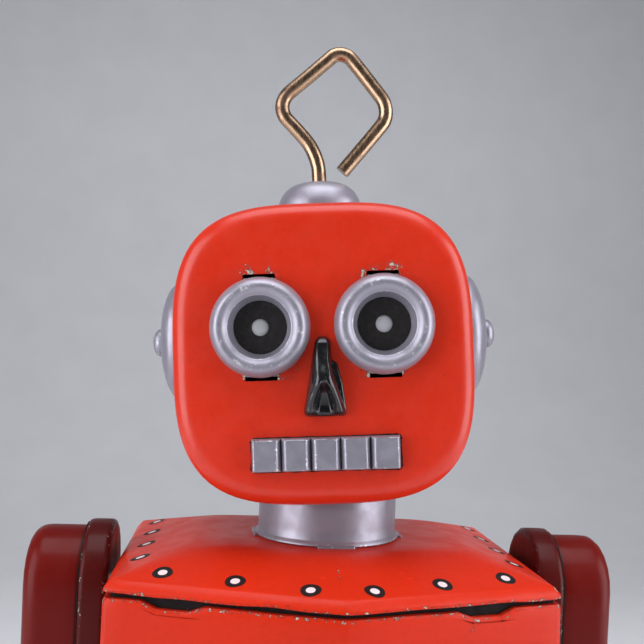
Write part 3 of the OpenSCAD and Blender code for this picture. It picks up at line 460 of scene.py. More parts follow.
def chain_outline(circles, inset=0.0, arc=10, fillet=3.0):
    """Outline round a chain of three circles (x, y, r), such as shoulder, elbow and wrist."""
    c = [Vector(q[:2]) for q in circles]
    r = [q[2] - inset for q in circles]

    def tangent(i, j, side):
        """The normal of the straight line that touches two circles on one side."""
        d = c[j] - c[i]
        s = (r[i] - r[j]) / d.length
        d.normalize()
        return d * s + Vector((-d.y, d.x)) * side * math.sqrt(1 - s * s)

    def sweep(centre, radius, n0, n1, way):
        """An arc from one normal to another, anticlockwise where way is 1."""
        a0, a1 = math.atan2(n0.y, n0.x), math.atan2(n1.y, n1.x)
        turn = (a1 - a0) % (2 * math.pi)
        if way < 0:
            turn -= 2 * math.pi
        return [centre + radius * Vector((math.cos(a0 + turn * k / arc), math.sin(a0 + turn * k / arc)))
                for k in range(arc + 1)]

    def corner(n0, n1):
        """The elbow's own arc on its outer side, and a fillet on its inner side."""
        if n0.cross(n1) > 0:
            return sweep(c[1], r[1], n0, n1, 1)
        mid = (n0 + n1) / (1 + n0.dot(n1))
        centre = c[1] + mid * (r[1] + fillet + inset)
        return sweep(centre, fillet + inset, -n0, -n1, -1)

    right_up, right_low = tangent(0, 1, -1), tangent(1, 2, -1)
    left_up, left_low = tangent(0, 1, 1), tangent(1, 2, 1)
    out = sweep(c[0], r[0], left_up, right_up, 1)
    wrist = sweep(c[2], r[2], right_low, left_low, 1)
    for ring in (corner(right_up, right_low), wrist, corner(left_low, left_up)):
        a, b = out[-1], ring[0]
        out += [a.lerp(b, k / 6) for k in range(1, 6)] + ring
    a, b = out[-1], out[0]
    return out + [a.lerp(b, k / 6) for k in range(1, 6)]


def pressed(outline, low, high, edge, fade=1.5, steps=4, to_point=None):
    """A solid between two heights whose edges are rounded. outline(inset) gives a ring of 2-D points."""
    levels = [(edge + fade, low), (edge, low)]
    levels += [(edge * (1 - math.sin(a)), low + edge * (1 - math.cos(a)))
               for a in [math.pi / 2 * k / steps for k in range(1, steps + 1)]]
    levels += [(0.0, low + edge + fade)] if high - low > 2 * (edge + fade) else []
    middle = len(levels)
    levels += [(i, low + high - h) for i, h in reversed(levels[:middle])]
    to_point = to_point or (lambda p, h: (p[0], p[1], h))
    return lofted([[to_point(p, h) for p in outline(inset)] for inset, h in levels])


def rounded_hull(balls, size=2.5):
    """The convex hull of balls (x, y, z, r), its flats divided so that wear stays near the edges."""
    bm = bmesh.new()
    for x, y, z, r in balls:
        bmesh.ops.create_icosphere(bm, subdivisions=3, radius=r, matrix=Matrix.Translation((x, y, z)))
    hull = bmesh.ops.convex_hull(bm, input=bm.verts)
    inside = [g for g in hull["geom_interior"] if isinstance(g, bmesh.types.BMVert)]
    bmesh.ops.delete(bm, geom=inside, context="VERTS")
    for _ in range(4):
        longer = [e for e in bm.edges if e.calc_length() > size]
        if not longer:
            break
        bmesh.ops.subdivide_edges(bm, edges=longer, cuts=1)
        bmesh.ops.triangulate(bm, faces=bm.faces)
    return taken(bm)


def tube(path, radius, n=24):
    """A round wire through the points of a path that lies in the XZ plane."""
    points = [np.array(p, float) for p in path]
    rings = []
    for i, p in enumerate(points):
        d = points[min(i + 1, len(points) - 1)] - points[max(i - 1, 0)]
        d /= np.linalg.norm(d)
        across = np.array([-d[2], 0, d[0]])
        rings.append([tuple(p + radius * (math.cos(a) * across + math.sin(a) * np.array([0, 1, 0])))
                      for a in [2 * math.pi * k / n for k in range(n)]])
    return lofted(rings)


# ---------- Head ----------

def head_outline(inset=0.0, n=144):
    """Evenly spaced points round the head's outline, as (x, z)."""
    t = np.linspace(0, 2 * math.pi, 4001)
    a = HEAD_W / 2 - inset
    b = HEAD_H / 2 - inset
    x = a * np.sign(np.cos(t)) * np.abs(np.cos(t)) ** (2 / HEAD_CURVE)
    z = b * np.sign(np.sin(t)) * np.abs(np.sin(t)) ** (2 / HEAD_CURVE)
    run = np.concatenate([[0], np.cumsum(np.hypot(np.diff(x), np.diff(z)))])
    at = np.linspace(0, run[-1], n, endpoint=False)
    return list(zip(np.interp(at, run, x), np.interp(at, run, z)))


def head_ring(inset, y):
    return [(x, y, z) for x, z in head_outline(inset)]


def pan_rings(y_face, y_rim):
    """Rings of a pan from its flat face over the pressed edge to the rim, and back inside."""
    s = 1 if y_rim > y_face else -1
    rings = [head_ring(HEAD_EDGE + 1.6, y_face), head_ring(HEAD_EDGE, y_face)]
    for k in range(1, 10):
        a = math.pi / 2 * k / 9
        rings.append(head_ring(HEAD_EDGE * (1 - math.sin(a)), y_face + s * HEAD_EDGE * (1 - math.cos(a))))
    start = y_face + s * (HEAD_EDGE + 1.5)
    stop = y_rim - s * 1.2
    count = max(2, int(abs(stop - start) / 3))
    rings += [head_ring(0.0, start + (stop - start) * k / count) for k in range(count + 1)]
    rim = [(0.0, 0.22), (0.22, 0.03), (TIN, 0.03), (TIN, 3)]
    return rings + [head_ring(inset, y_rim - s * back) for inset, back in rim]


def circle_loop(x, z, r, n=64):
    around = [2 * math.pi * k / n for k in range(n)]
    return [(x + r * math.cos(a), FACE_Y, z + r * math.sin(a)) for a in around]


def box(x0, y0, x1, y1, r):
    """The corners of a rounded rectangle, for rounded_polygon."""
    return [(x0, y0, r), (x1, y0, r), (x1, y1, r), (x0, y1, r)]


def slot_loop(x, z, w, h):
    points = rounded_polygon(box(-w / 2, -h / 2, w / 2, h / 2, 0.15), 0, 3, 2)
    return [(x + p.x, FACE_Y, z + p.y) for p in points]


def head_front():
    """The face with holes for the eyes and their tabs, and the head's sides."""
    rings = pan_rings(FACE_Y, SEAM_Y)
    verts, faces = lofted(rings, False, False)
    loops = [rings[0]]
    walls = []
    for x in (-EYE_X, EYE_X):
        holes = [circle_loop(x, EYE_Z, EYE_R - 1.6)]
        holes += [slot_loop(x, EYE_Z + s * (EYE_R + 0.1), 5.3, 0.9) for s in (-1, 1)]
        for hole in holes:
            walls.append(lofted([hole, [(p[0], p[1] + TIN, p[2]) for p in hole]], False, False))
        loops += holes
    bm = bmesh.new()
    for loop in loops:
        made = [bm.verts.new(p) for p in loop]
        for a, b in zip(made, made[1:] + made[:1]):
            bm.edges.new((a, b))
    bmesh.ops.triangle_fill(bm, use_beauty=True, use_dissolve=False, edges=bm.edges)
    verts, faces = joined((verts, faces), taken(bm), *walls)
    # The neck's hole
    keep = []
    for f in faces:
        mid = sum((Vector(verts[i]) for i in f), Vector()) / len(f)
        if not (mid.z < -HEAD_H / 2 + 2 and math.hypot(mid.x, mid.y) < NECK_R - 1.3):
            keep.append(f)
    return verts, keep


def head_back():
    return lofted(pan_rings(HEAD_D / 2, SEAM_Y), True, False)


def eye_ring():
    """A rolled outer edge, a dished slope and a raised lip round the hole, with its two tabs."""
    roll = [(0, -0.05), (0.05, 0.5), (-0.1, 1.3), (-0.48, 2.15), (-1.02, 2.72), (-1.6, 2.92), (-2.15, 2.78),
            (-2.6, 2.48), (-2.9, 2.2)]
    profile = smooth_curve([(EYE_R + out, h) for out, h in roll])
    profile += [(5.24, 2.17), (5.16, 2.11), (5.10, 1.98), (4.92, 1.2), (4.62, 0.4), (4.42, 0.0), (4.40, -0.3)]
    ring = turned([(0.0001 + r, h) for r, h in profile], 112)
    ring = (ring[0], ring[1][:-2])
    tabs = []
    for s in (-1, 1):
        corners = box(-2.5, 0, 2.5, 0.35, 0.15)
        tabs.append(pressed(lambda inset: rounded_polygon(corners, inset, 3, 2), -0.9, 0.35, 0.1, 0.1, 2,
                            lambda p, h, s=s: (p[0], s * (EYE_R - 0.5 + p[1]), h)))
    return joined(ring, *tabs)


def at_eye(side):
    return Matrix.Translation((side * EYE_X, FACE_Y, EYE_Z)) @ Matrix.Rotation(math.pi / 2, 4, "X")


def moved(part, matrix):
    return [tuple(matrix @ Vector(v)) for v in part[0]], part[1]


def sheet(grid):
    """One surface through rows of points."""
    w = len(grid[0])
    faces = [(k * w + i, k * w + i + 1, (k + 1) * w + i + 1, (k + 1) * w + i)
             for k in range(len(grid) - 1) for i in range(w - 1)]
    return [p for row in grid for p in row], faces


def rounding(gap, radius):
    """The height of a rounded edge, as a share of the full height, at a distance in from the outline."""
    return math.sqrt(max(0.0, 1 - max(0.0, 1 - gap / radius) ** 2))


def along(v, points):
    """A value that runs smoothly through (share of the way, value) points."""
    shares, values = zip(*smooth_curve(points, 8))
    return float(np.interp(v, shares, values))


def nose_row(v):
    """One level of the nose, a share v of the way down: its outlines, its two ridges and their heights."""
    low = -float(np.interp(v, [0, 0.02, 0.07, 0.3, 0.6, 0.93, 0.98, 1],
                           [0.5, 0.95, 1.35, 1.9, 2.65, 3.4, 3.25, 2.8]))
    high = float(np.interp(v, [0, 0.02, 0.07, 0.29, 0.34, 0.6, 0.93, 0.98, 1],
                           [0.5, 0.95, 1.25, 1.4, 2.3, 3.1, 3.6, 3.45, 3.0]))
    body_high = float(np.interp(v, [0, 0.02, 0.07, 0.3, 0.5, 0.75, 0.93, 0.98, 1],
                                [0.5, 0.95, 1.25, 1.4, 1.85, 2.8, 3.4, 3.3, 2.9]))
    left = along(v, [(0, -0.5), (0.12, -0.75), (0.3, -0.6), (0.5, -0.55), (0.62, -0.85), (0.8, -1.9),
                     (1, -2.6)])
    right = along(v, [(0, 0.5), (0.12, 0.6), (0.3, 0.4), (0.5, 0.55), (0.62, 0.95), (0.8, 2.0), (1, 2.75)])
    rise = along(v, [(0, 1.1), (0.15, 1.9), (0.35, 3.0), (0.56, 4.1), (0.7, 3.3), (0.86, 2.4), (1, 2.0)])
    dip = along(v, [(0, 0.03), (0.3, 0.06), (0.54, 0.12), (0.68, 1.9), (0.84, 1.7), (1, 1.0)])
    return low, high, body_high, left, right, rise, dip


def nose_height(x, v, row):
    """How far the nose stands out at x: rounded ridges with a hollow between, on a thin flange."""
    low, high, body_high, left, right, rise, dip = row
    if x < left or x > right:
        out = max(left - x, x - right)
        body = rise - 2.0 * (math.hypot(out, 1.3) - 1.3)
    else:
        inward = min(1.0, min(x - left, right - x) / (0.36 * (right - left)))
        body = rise - dip * inward ** 2 * (3 - 2 * inward)
    ends = min(v, 1 - v) * NOSE_L
    body *= rounding(min(x - low, body_high - x), 0.7) * rounding(ends, 1.1)
    return max(body, 0.5 * rounding(min(x - low, high - x, ends), 0.4))


def nose():
    """A narrow bridge with twin ridges, which part below the tip and run to the foot's corners."""
    rows, columns = 80, 71
    shares = [0.5 - 0.5 * math.cos(math.pi * j / (columns - 1)) for j in range(columns)]
    grid = []
    for i in range(rows + 1):
        v = i / rows
        row = nose_row(v)
        low, high = row[:2]
        xs = [low + (high - low) * share for share in shares]
        grid.append([(x, FACE_Y - nose_height(x, v, row), NOSE_TOP - v * NOSE_L) for x in xs])
    return sheet(grid)


def teeth():
    """Five pillowed teeth in one strip, as a grid of heights."""
    nx, nz = 150, 22
    pitch = TEETH_W / TEETH_N

    def height(x, z):
        """How far the strip stands out at x from its end and z from its middle."""
        share = (x / pitch) % 1.0
        from_groove = min(share, 1 - share) * pitch
        if x < pitch / 2:
            from_groove = x + 0.45
        if x > TEETH_W - pitch / 2:
            from_groove = TEETH_W - x + 0.45
        swell = 1 - max(0.0, 1 - from_groove / 0.95) ** 2.2
        edge = min(rounding(min(x, TEETH_W - x), 0.5), rounding(TEETH_H / 2 - abs(z), 0.3))
        dent = 0.10 * noise.noise(Vector((x * 0.5, z * 0.6, 3.1)))
        return (0.35 + (TEETH_RISE - 0.35) * swell + dent) * edge

    # The columns stand a little closer near the strip's ends.
    xs = [TEETH_W * (0.5 - 0.5 * math.cos(math.pi * i / nx)) * 0.25 + TEETH_W * i / nx * 0.75
          for i in range(nx + 1)]
    zs = [TEETH_H / 2 * math.sin(math.pi * (k / nz - 0.5)) for k in range(nz + 1)]
    return sheet([[(x - TEETH_W / 2, FACE_Y - height(x, z), TEETH_Z + z) for x in xs] for z in zs])


def tooth_groove_shade():
    """Black strips in the grooves between the teeth: painted shade for the grooves."""
    pitch = TEETH_W / TEETH_N
    parts = []
    for k in range(1, TEETH_N):
        rows = []
        for j in range(9):
            x = k * pitch - TEETH_W / 2 + 0.04 * math.sin(3.1 * k + 1.7 * j)
            z = TEETH_Z + (TEETH_H - 0.3) * (j / 8 - 0.5)
            rows.append([(x + half, FACE_Y - 0.62, z) for half in (-0.22, 0.22)])
        parts.append(sheet(rows))
    return joined(*parts)


def tooth_outline():
    """A thin dark border on the face round the strip, uneven and wider at one end than the other."""
    w, h = TEETH_W / 2, TEETH_H / 2

    def ring(inset, uneven):
        out = []
        for p in rounded_polygon(box(-w, -h, w, h, 0.4), 0.0, 4, 30):
            run = 0.16 + 0.16 * noise.noise(Vector((p.x * 0.7, p.y * 0.7, 4))) + 0.1 * (p.x > 0.8 * w)
            grow = inset + uneven * run
            past_end = max(-1, min(1, p.x * 20 - math.copysign(20 * w - 1, p.x))) if abs(p.x) > w - 0.3 else 0
            past_side = math.copysign(1, p.y) if abs(p.y) > h - 0.3 else 0
            out.append((p.x + past_end * grow, FACE_Y - 0.03, TEETH_Z + p.y + past_side * grow))
        return out

    return lofted([ring(-0.5, 0.0), ring(0.0, 1.0)], False, False)


def at_ear(profile, n):
    """Turns a profile about the axis of the robot's left ear."""
    about = Matrix.Translation((HEAD_W / 2, EAR_Y, EAR_Z)) @ Matrix.Rotation(math.pi / 2, 4, "Y")
    return turned(smooth_curve(profile), n, about)


def ear():
    """A pressed dome with a flat round its rivet, its rim run into the head's curved side."""
    return at_ear([(EAR_R, -1.3), (EAR_R, 0.4), (EAR_R - 0.1, 1.5), (EAR_R - 0.55, 2.6), (EAR_R - 1.6, 3.5),
                   (8.0, 4.25), (6.0, 4.75), (4.0, 5.05), (3.0, 5.15), (1.6, 5.2), (0.0, 5.2)], 96)


def ear_knob():
    return at_ear([(2.7, 5.1), (2.72, 5.4), (2.6, 6.0), (2.15, 6.6), (1.3, 6.98), (0.0, 7.1)], 48)


def antenna_cap():
    profile = smooth_curve([(8.05, -0.7), (8.0, 0.2), (7.92, 1.6), (7.55, 3.2), (6.75, 4.75), (5.5, 5.9),
                            (3.9, 6.55), (2.3, 6.8), (1.3, 6.85)])
    return turned(profile, 96, Matrix.Translation((0, 0, HEAD_H / 2)))


def bent_path(corners, radii):
    """Points along straight stretches joined by arcs; radii are those of the inner corners."""
    out = [np.array(corners[0], float)]
    for before, here, after, r in zip(corners, corners[1:], corners[2:], radii):
        before, here, after = (np.array(p, float) for p in (before, here, after))
        d0 = (here - before) / np.linalg.norm(here - before)
        d1 = (after - here) / np.linalg.norm(after - here)
        bend = math.acos(max(-1, min(1, float(d0 @ d1))))
        cut = r * math.tan(bend / 2)
        start = here - d0 * cut
        side = np.array([d1[0] - d0[0] * float(d0 @ d1), d1[1] - d0[1] * float(d0 @ d1)])
        side /= np.linalg.norm(side)
        centre = start + side * r
        last = out[-1]
        for k in range(1, 8):
            out.append(last + (start - last) * k / 8)
        for k in range(13):
            a = bend * k / 12
            out.append(centre - side * r * math.cos(a) + d0 * r * math.sin(a))
    end = np.array(corners[-1], float)
    last = out[-1]
    out += [last + (end - last) * k / 8 for k in range(1, 9)]
    return out


def antenna_wire():
    """One wire: out of the cap, round a leaning open diamond, and back to a cut end."""
    top = HEAD_H / 2 + 6.9
    corners = [(0, -10), (0, 5.6), (-8.0, 15.0), (5.2, 25.4), (14.3, 13.2), (4.5, 1.9)]
    path = bent_path(corners, [9.0, 3.8, 2.6, 4.2])
    # A hand-bent wire is never quite straight.
    wavy = [(p[0] + 0.10 * math.sin(0.33 * i), 0.25 * math.sin(0.11 * i), p[1] + top)
            for i, p in enumerate(path)]
    return tube(wavy, WIRE_R)


# ---------- Body ----------

SLOPE = BODY_PEAK / (BODY_W / 2)
FRAME_W = 1.1             # width of a printed frame line


def body_ring(inset, z, corner=1.2):
    """A ring of the body's outline, anticlockwise from the front corner on the robot's right."""
    side, ridge = BODY_W / 2, -BODY_FRONT - BODY_PEAK
    corners = [(-side, -BODY_FRONT, corner), (0.0, ridge, 3.0), (side, -BODY_FRONT, corner),
               (side, BODY_BACK, corner), (-side, BODY_BACK, corner)]
    return [(p.x, p.y, z) for p in rounded_polygon(corners, inset, 5, 14)]


LID_PROFILE = [(0.35, 148.0), (0.02, 148.12), (0.0, 148.35), (0.12, 148.7), (0.75, 149.45), (1.12, 149.86),
               (1.45, 150.03), (2.0, 150.22), (3.2, 150.6), (6.0, 151.5), (9.0, 152.45), (11.6, 153.25),
               (12.6, 153.53), (13.6, 153.76), (14.8, 153.93), (16.4, 154.0)]


def shoulder_lid():
    """A crease round the edge, a slope and a flat top; the lower lip is a little beaten up."""
    rings = [body_ring(0.9, 149.0), body_ring(0.6, 148.1)]
    for k, (inset, z) in enumerate(LID_PROFILE):
        ring = body_ring(inset, z, 1.2 + 1.5 * max(0.0, inset - 1.0))
        if k < 4:
            ring = [(x + 0.10 * noise.noise(Vector((x * 0.21, y * 0.21, 1))),
                     y + 0.22 * noise.noise(Vector((x * 0.17, y * 0.17, 5))),
                     z + 0.32 * noise.noise(Vector((x * 0.13, y * 0.13, 9)))) for x, y, z in ring]
        rings.append(ring)
    last = rings[-1]
    around = [math.atan2(p[1], p[0]) for p in last]
    inner = [((NECK_R - 1) * math.cos(a), (NECK_R - 1) * math.sin(a), LID_Z) for a in around]
    for k in range(1, 4):
        rings.append([tuple(np.array(p) + (np.array(q) - np.array(p)) * k / 3) for p, q in zip(last, inner)])
    return lofted(rings, False, False)


def above(part):
    """Gives a function that lays a point of the plan onto a part, just clear of it."""
    tree = BVHTree.FromPolygons([Vector(v) for v in part[0]], part[1])

    def lay(x, y):
        return tuple(tree.ray_cast(Vector((x, y, 300)), Vector((0, 0, -1)))[0] + Vector((0, 0, 0.035)))

    return lay


def printed_rivet(to_surface, x, y, outer=1.65, inner=0.76, n=32):
    """A black ring and a pale middle, each a thin printed patch on a surface."""
    ring, rim, middle = [], [], []
    for k in range(n):
        a = 2 * math.pi * k / n
        wobble = 1 + 0.03 * math.sin(3 * a + x)
        ring.append(to_surface(x + outer * wobble * math.cos(a), y + outer * wobble * math.sin(a)))
        rim.append(to_surface(x + inner * math.cos(a), y + inner * math.sin(a)))
        middle.append(to_surface(x + 0.5 * inner * math.cos(a), y + 0.5 * inner * math.sin(a)))
    return lofted([ring, rim], False, False), lofted([rim, middle], False, True)


LID_RIVETS = [(s * (5.0 + 11.6 * k), -27.3 + (11.6 * k) * SLOPE + 0.6 * k) for s in (-1, 1) for k in range(3)]
LID_RIVETS += [(s * 32.8, -9.4 + 10.8 * k) for s in (-1, 1) for k in range(4)]


def neck():
    """A tube with a rolled foot and a step near its top."""
    step = HEAD_Z - 0.42
    profile = [(NECK_R - 0.6, LID_Z + 0.02), (NECK_R + 0.35, LID_Z + 0.02), (NECK_R + 0.6, LID_Z + 0.25),
               (NECK_R + 0.5, LID_Z + 0.55), (NECK_R + 0.15, LID_Z + 0.85), (NECK_R, LID_Z + 1.2)]
    profile += [(NECK_R, LID_Z + 1.2 + (step - LID_Z - 1.5) * k / 4) for k in range(1, 5)]
    profile += [(NECK_R - 0.12, step - 0.05), (NECK_R - 0.4, step), (NECK_R - 1.6, step),
                (NECK_R - 1.6, HEAD_Z + 2.5), (NECK_R - 0.2, HEAD_Z + 2.55), (NECK_R - 0.2, HEAD_Z + 2.95),
                (NECK_R - 2.1, HEAD_Z + 3.0)]
    tube_part = turned(profile, 112)
    tube_part = (tube_part[0], tube_part[1][:-2])
    corners = [(-3.1, 0, 0.3), (3.1, 0, 0.3), (3.3, 1.15, 0.25), (-3.3, 1.15, 0.25)]
    tab = pressed(lambda inset: rounded_polygon(corners, inset, 3, 2),
                  LID_Z - 0.1, LID_Z + 0.5, 0.18, 0.1, 2,
                  lambda p, h: (p[0], -(NECK_R - 0.1 + p[1]), h - 0.12 * p[1]))
    tabs = [moved(tab, Matrix.Rotation(k * math.pi / 2 + 0.03, 4, "Z")) for k in range(4)]
    return joined(tube_part, *tabs)


def wall_height(x, y):
    """The body's top edge: folded down between the lid's tabs along the front, and a little uneven."""
    notch = 0.0
    if y < -BODY_FRONT + 1:
        for at in (-25.5, 24.0):
            notch += 1.05 / (1 + math.exp((abs(x - at) - 3.9) * 6))
    return WALL_TOP - notch + 0.16 * noise.noise(Vector((x * 0.15, y * 0.15, 2)))


def body_shell(front):
    """The walls from skirt to shoulder, cut at the seam towards the back."""
    levels = [(0.55, SKIRT_Z + 0.5), (0.4, SKIRT_Z + 0.05), (0.1, SKIRT_Z + 0.0), (0.0, SKIRT_Z + 0.25),
              (0.0, SKIRT_Z + 1.6)]
    levels += [(0.0, SKIRT_Z + 1.6 + (WALL_TOP - 3.4 - SKIRT_Z) * k / 14) for k in range(1, 15)]
    rings = [body_ring(inset, z) for inset, z in levels]
    for inset, drop in ((0.0, 1.0), (0.05, 0.45), (0.3, 0.1), (0.9, 0.0), (1.3, 0.05)):
        rings.append([(x, y, wall_height(x, y) - drop) for x, y, _ in body_ring(inset, 0)])
    return cut_at_seam(lofted(rings, False, False), front)


def upstand(front):
    """The strip inside the lid, coloured near-black as painted shade for the dark gap under the lid's lip."""
    rings = [body_ring(1.15, WALL_TOP - 1.4), body_ring(1.25, WALL_TOP + 1.5)]
    return cut_at_seam(lofted(rings, False, False), front)


def cut_at_seam(part, front):
    """Keeps the part of a ring in front of the seam, or behind it."""
    verts, faces = part
    bm = bmesh.new()
    made = [bm.verts.new(v) for v in verts]
    for f in faces:
        bm.faces.new([made[i] for i in f])
    geometry = bm.verts[:] + bm.edges[:] + bm.faces[:]
    gap = -0.06 if front else 0.06
    seam = (0, SEAM_BACK + gap, 0)
    bmesh.ops.bisect_plane(bm, geom=geometry, dist=0.0001, plane_co=seam, plane_no=(0, 1, 0),
                           clear_outer=front, clear_inner=not front)
    return taken(bm)


def onto_front(s, z):
    """A point on the front panel: s runs along the panel from the middle ridge, to either side."""
    run = abs(s) / math.hypot(1, SLOPE)
    return (math.copysign(run, s), -BODY_FRONT - BODY_PEAK + run * SLOPE - INK_LIFT, z)


def onto_back(s, z):
    """A point on the flat back panel."""
    return (-s, BODY_BACK + INK_LIFT, z)


def right_chest(s, z):
    """The same point on the other half of the front panel."""
    return onto_front(-s, z)


def lifted(to_surface, by):
    """The same surface moved forwards, for a print that lies over another."""
    def lay(s, z):
        x, y, height = to_surface(s, z)
        return (x, y - by, height)

    return lay


def printed_box(to_surface, corners, insets, filled):
    """A printed outline between two insets, and what is inside it where it is filled."""
    rings = [[to_surface(p.x, p.y) for p in rounded_polygon(corners, inset, 5, 10)] for inset in insets]
    return lofted(rings, False, filled)


def printed_frame(to_surface, corners):
    return printed_box(to_surface, corners, (0.0, FRAME_W), False)


def printed_field(to_surface, corners, inset=0.0):
    return printed_box(to_surface, corners, (inset, inset + 1.0), True)


def printed_disc(to_surface, x, z, outer, inner=0.0, n=48):
    """A printed disc, or a ring where it has an inner radius."""
    around = [2 * math.pi * k / n for k in range(n)]
    rings = [[to_surface(x + r * math.cos(a), z + r * math.sin(a)) for a in around]
             for r in (outer, inner or outer * 0.5)]
    return lofted(rings, False, not inner)


def slats(to_surface, middle, half_w, half_h, r, first, count, step=5.2):
    """A column of printed slats with rounded ends."""
    boxes = [box(middle - half_w, z - half_h, middle + half_w, z + half_h, r)
             for z in [first + step * k for k in range(count)]]
    return [printed_field(to_surface, corners) for corners in boxes]


# ---------- Arms, legs and feet ----------

ARM_X, ARM_SEAM, ARM_END = 38.7, 43.8, 53.7
ELBOW = (4.0, 112.0)
DROP = math.radians(40)   # the forearm's angle below level


def along_forearm(start, length):
    return (start[0] - length * math.cos(DROP), start[1] - length * math.sin(DROP))


WRIST = along_forearm(ELBOW, 22)
CLAW = along_forearm(WRIST, 13.3)
CLAW_OUTER, CLAW_INNER = 9.0, 6.0
ARM = [(4.0, 144.8, 9.0), (*ELBOW, 7.0), (*WRIST, 5.5)]
LIP = 1.2


def sideways(p, h):
    return (h, p[0], p[1])


def arm_inner():
    """The tray next to the body, its rolled edge standing out round the outer pressing."""
    return pressed(lambda i: chain_outline(ARM, i - LIP), ARM_X, ARM_SEAM - 0.1, 1.1, 1.6, 6, sideways)


def arm_level(inset, x):
    return [(x, p[0], p[1]) for p in chain_outline(ARM, inset)]


def rounded_end(edge, steps, top):
    """Insets and heights over a rounded edge of a piece that ends at top."""
    turns = [math.pi / 2 * k / steps for k in range(steps + 1)]
    return [(edge * (1 - math.cos(a)), top - edge * (1 - math.sin(a))) for a in turns]


def arm_outer():
    """The outer pressing: straight walls from the seam and a well-rounded outer edge."""
    edge = 3.2
    levels = [(0.5, ARM_SEAM - 0.35), (0.1, ARM_SEAM + 0.1), (0.0, ARM_SEAM + 0.5)]
    levels += [(0.0, ARM_SEAM + 0.5 + 1.8 * k) for k in range(1, 4)]
    levels += rounded_end(edge, 8, ARM_END) + [(edge + 1.2, ARM_END)]
    return lofted([arm_level(inset, x) for inset, x in levels])


def arm_seam_line():
    """A black ring at the seam: painted shade for the gap between the two pressings."""
    levels = [(0.35, -0.13), (-0.62, -0.13), (-0.62, 0.02), (0.08, 0.06)]
    return lofted([arm_level(inset, ARM_SEAM + past) for inset, past in levels], False, False)


def claw():
    """A C-shaped pressing with its edges rounded, on a short shank."""
    back, gape, steps = 220, 40, 48
    start, stop = math.radians(back + gape), math.radians(back - gape + 360)

    def arc(centre, radius, first, turn, shares):
        angles = [first + turn * share for share in shares]
        return [Vector((centre[0] + radius * math.cos(a), centre[1] + radius * math.sin(a))) for a in angles]

    def outline(inset):
        outer, inner = CLAW_OUTER - inset, CLAW_INNER + inset
        mid, half = (outer + inner) / 2, (outer - inner) / 2
        whole = [k / steps for k in range(steps + 1)]
        tip = [k / 8 for k in range(1, 8)]
        last, first = arc(CLAW, mid, stop, 0, [0])[0], arc(CLAW, mid, start, 0, [0])[0]
        return (arc(CLAW, outer, start, stop - start, whole) + arc(last, half, stop, math.pi, tip)
                + arc(CLAW, inner, stop, start - stop, whole)
                + arc(first, half, start + math.pi, math.pi, tip))

    shank = rounded_hull([(x, *along_forearm(WRIST, d), 0.7) for x in (46.8, 50.7) for d in (3.0, 6.6)], 6)
    return joined(pressed(outline, 46.25, 51.25, 0.55, 0.5, 4, sideways), shank)


LEG_X, LEG_W, LEG_D, LEG_TOP = 19.0, 24.0, 26.0, 65.0
FOOT_HALF_W, HEEL_Y, TOE_Y, TOE_R = 14.0, 17.0, -25.0, 7.0


def leg():
    """A rounded box with a shallow band pressed in round its knee."""
    corners = box(LEG_X - LEG_W / 2, -LEG_D / 2, LEG_X + LEG_W / 2, LEG_D / 2, 2.4)
    edge = 1.4
    levels = [(1.2, 15.9), (0.15, 15.9), (0.0, 16.2)]
    levels += [(0.0, 16.2 + 2 * k) for k in range(1, 10)]
    levels += [(0.0, 35.2), (0.45, 35.9), (0.6, 36.6), (0.6, 39.4), (0.45, 40.1), (0.0, 40.8)]
    levels += [(0.0, 42 + 3 * k) for k in range(7)]
    levels += rounded_end(edge, 6, LEG_TOP) + [(edge + 1.5, LEG_TOP), (edge + 5, LEG_TOP)]
    return lofted([[(p.x, p.y, z) for p in rounded_polygon(corners, i, 6, 8)] for i, z in levels])


def foot():
    """A block that slopes down to a round toe."""
    ankle = -LEG_D / 2 - 1
    r, low, high = 1.1, 0.45, 16
    balls = []
    for x in (LEG_X - FOOT_HALF_W + r, LEG_X + FOOT_HALF_W - r):
        balls += [(x, HEEL_Y - r, low + r, r), (x, HEEL_Y - r, high - r, r), (x, ankle + r, high - r, r)]
    for s in (-1, 1):
        for k in range(7):
            a = math.pi / 2 * k / 6
            x = LEG_X + s * (FOOT_HALF_W - TOE_R + (TOE_R - r) * math.cos(a))
            y = TOE_Y - (TOE_R - r) * math.sin(a)
            balls += [(x, y, TOE_R - r, r), (x, y, low + r, r)]
    return rounded_hull(balls, 2.2)


def sole():
    """A thin plate with the foot's outline."""
    x0, x1, toe = LEG_X - FOOT_HALF_W, LEG_X + FOOT_HALF_W, TOE_Y - TOE_R
    corners = [(x0, toe, TOE_R), (x1, toe, TOE_R), (x1, HEEL_Y, 1.2), (x0, HEEL_Y, 1.2)]

    def outline(inset):
        return rounded_polygon(corners, inset, 8, 8)

    return pressed(outline, 0.0, 0.5, 0.18, 0.3, 2)


# ---------- Placing the pieces ----------

def on_head(name, part, material, slot, instead_of=(), sharp=38):
    return place(name, *part, material, "head", slot, instead_of, HEAD_POSE, sharp)


on_head("face_pan", head_front(), "face", "red_tin", ("head_front",), 30)
on_head("head_cover", head_back(), "face", "red_tin", ("head_back",), 30)
ring = eye_ring()
for side, s in (("left", 1), ("right", -1)):
    on_head(f"eye_rim_{side}", moved(ring, at_eye(s)), "silver", "silver_tin", (f"eye_ring_{side}",), 40)
on_head("nose_pressing", nose(), "black", "black_enamel", ("nose",), 55)
on_head("tooth_strip", teeth(), "silver", "silver_tin", ("teeth",), 60)
# Black strips in the teeth's grooves, as painted shade, and a dark border round the strip.
on_head("tooth_lines", joined(tooth_groove_shade(), tooth_outline()), "ink", "black_enamel")
dome, knob = ear(), ear_knob()
for side, part in (("left", dome), ("right", mirrored(dome))):
    on_head(f"ear_dome_{side}", part, "silver", "silver_tin", (f"ear_{side}",), 50)
on_head("ear_knobs", joined(knob, mirrored(knob)), "silver", "silver_tin", ("ear_rivets",), 50)
on_head("cap_dome", antenna_cap(), "silver", "silver_tin", ("antenna_cap",), 50)
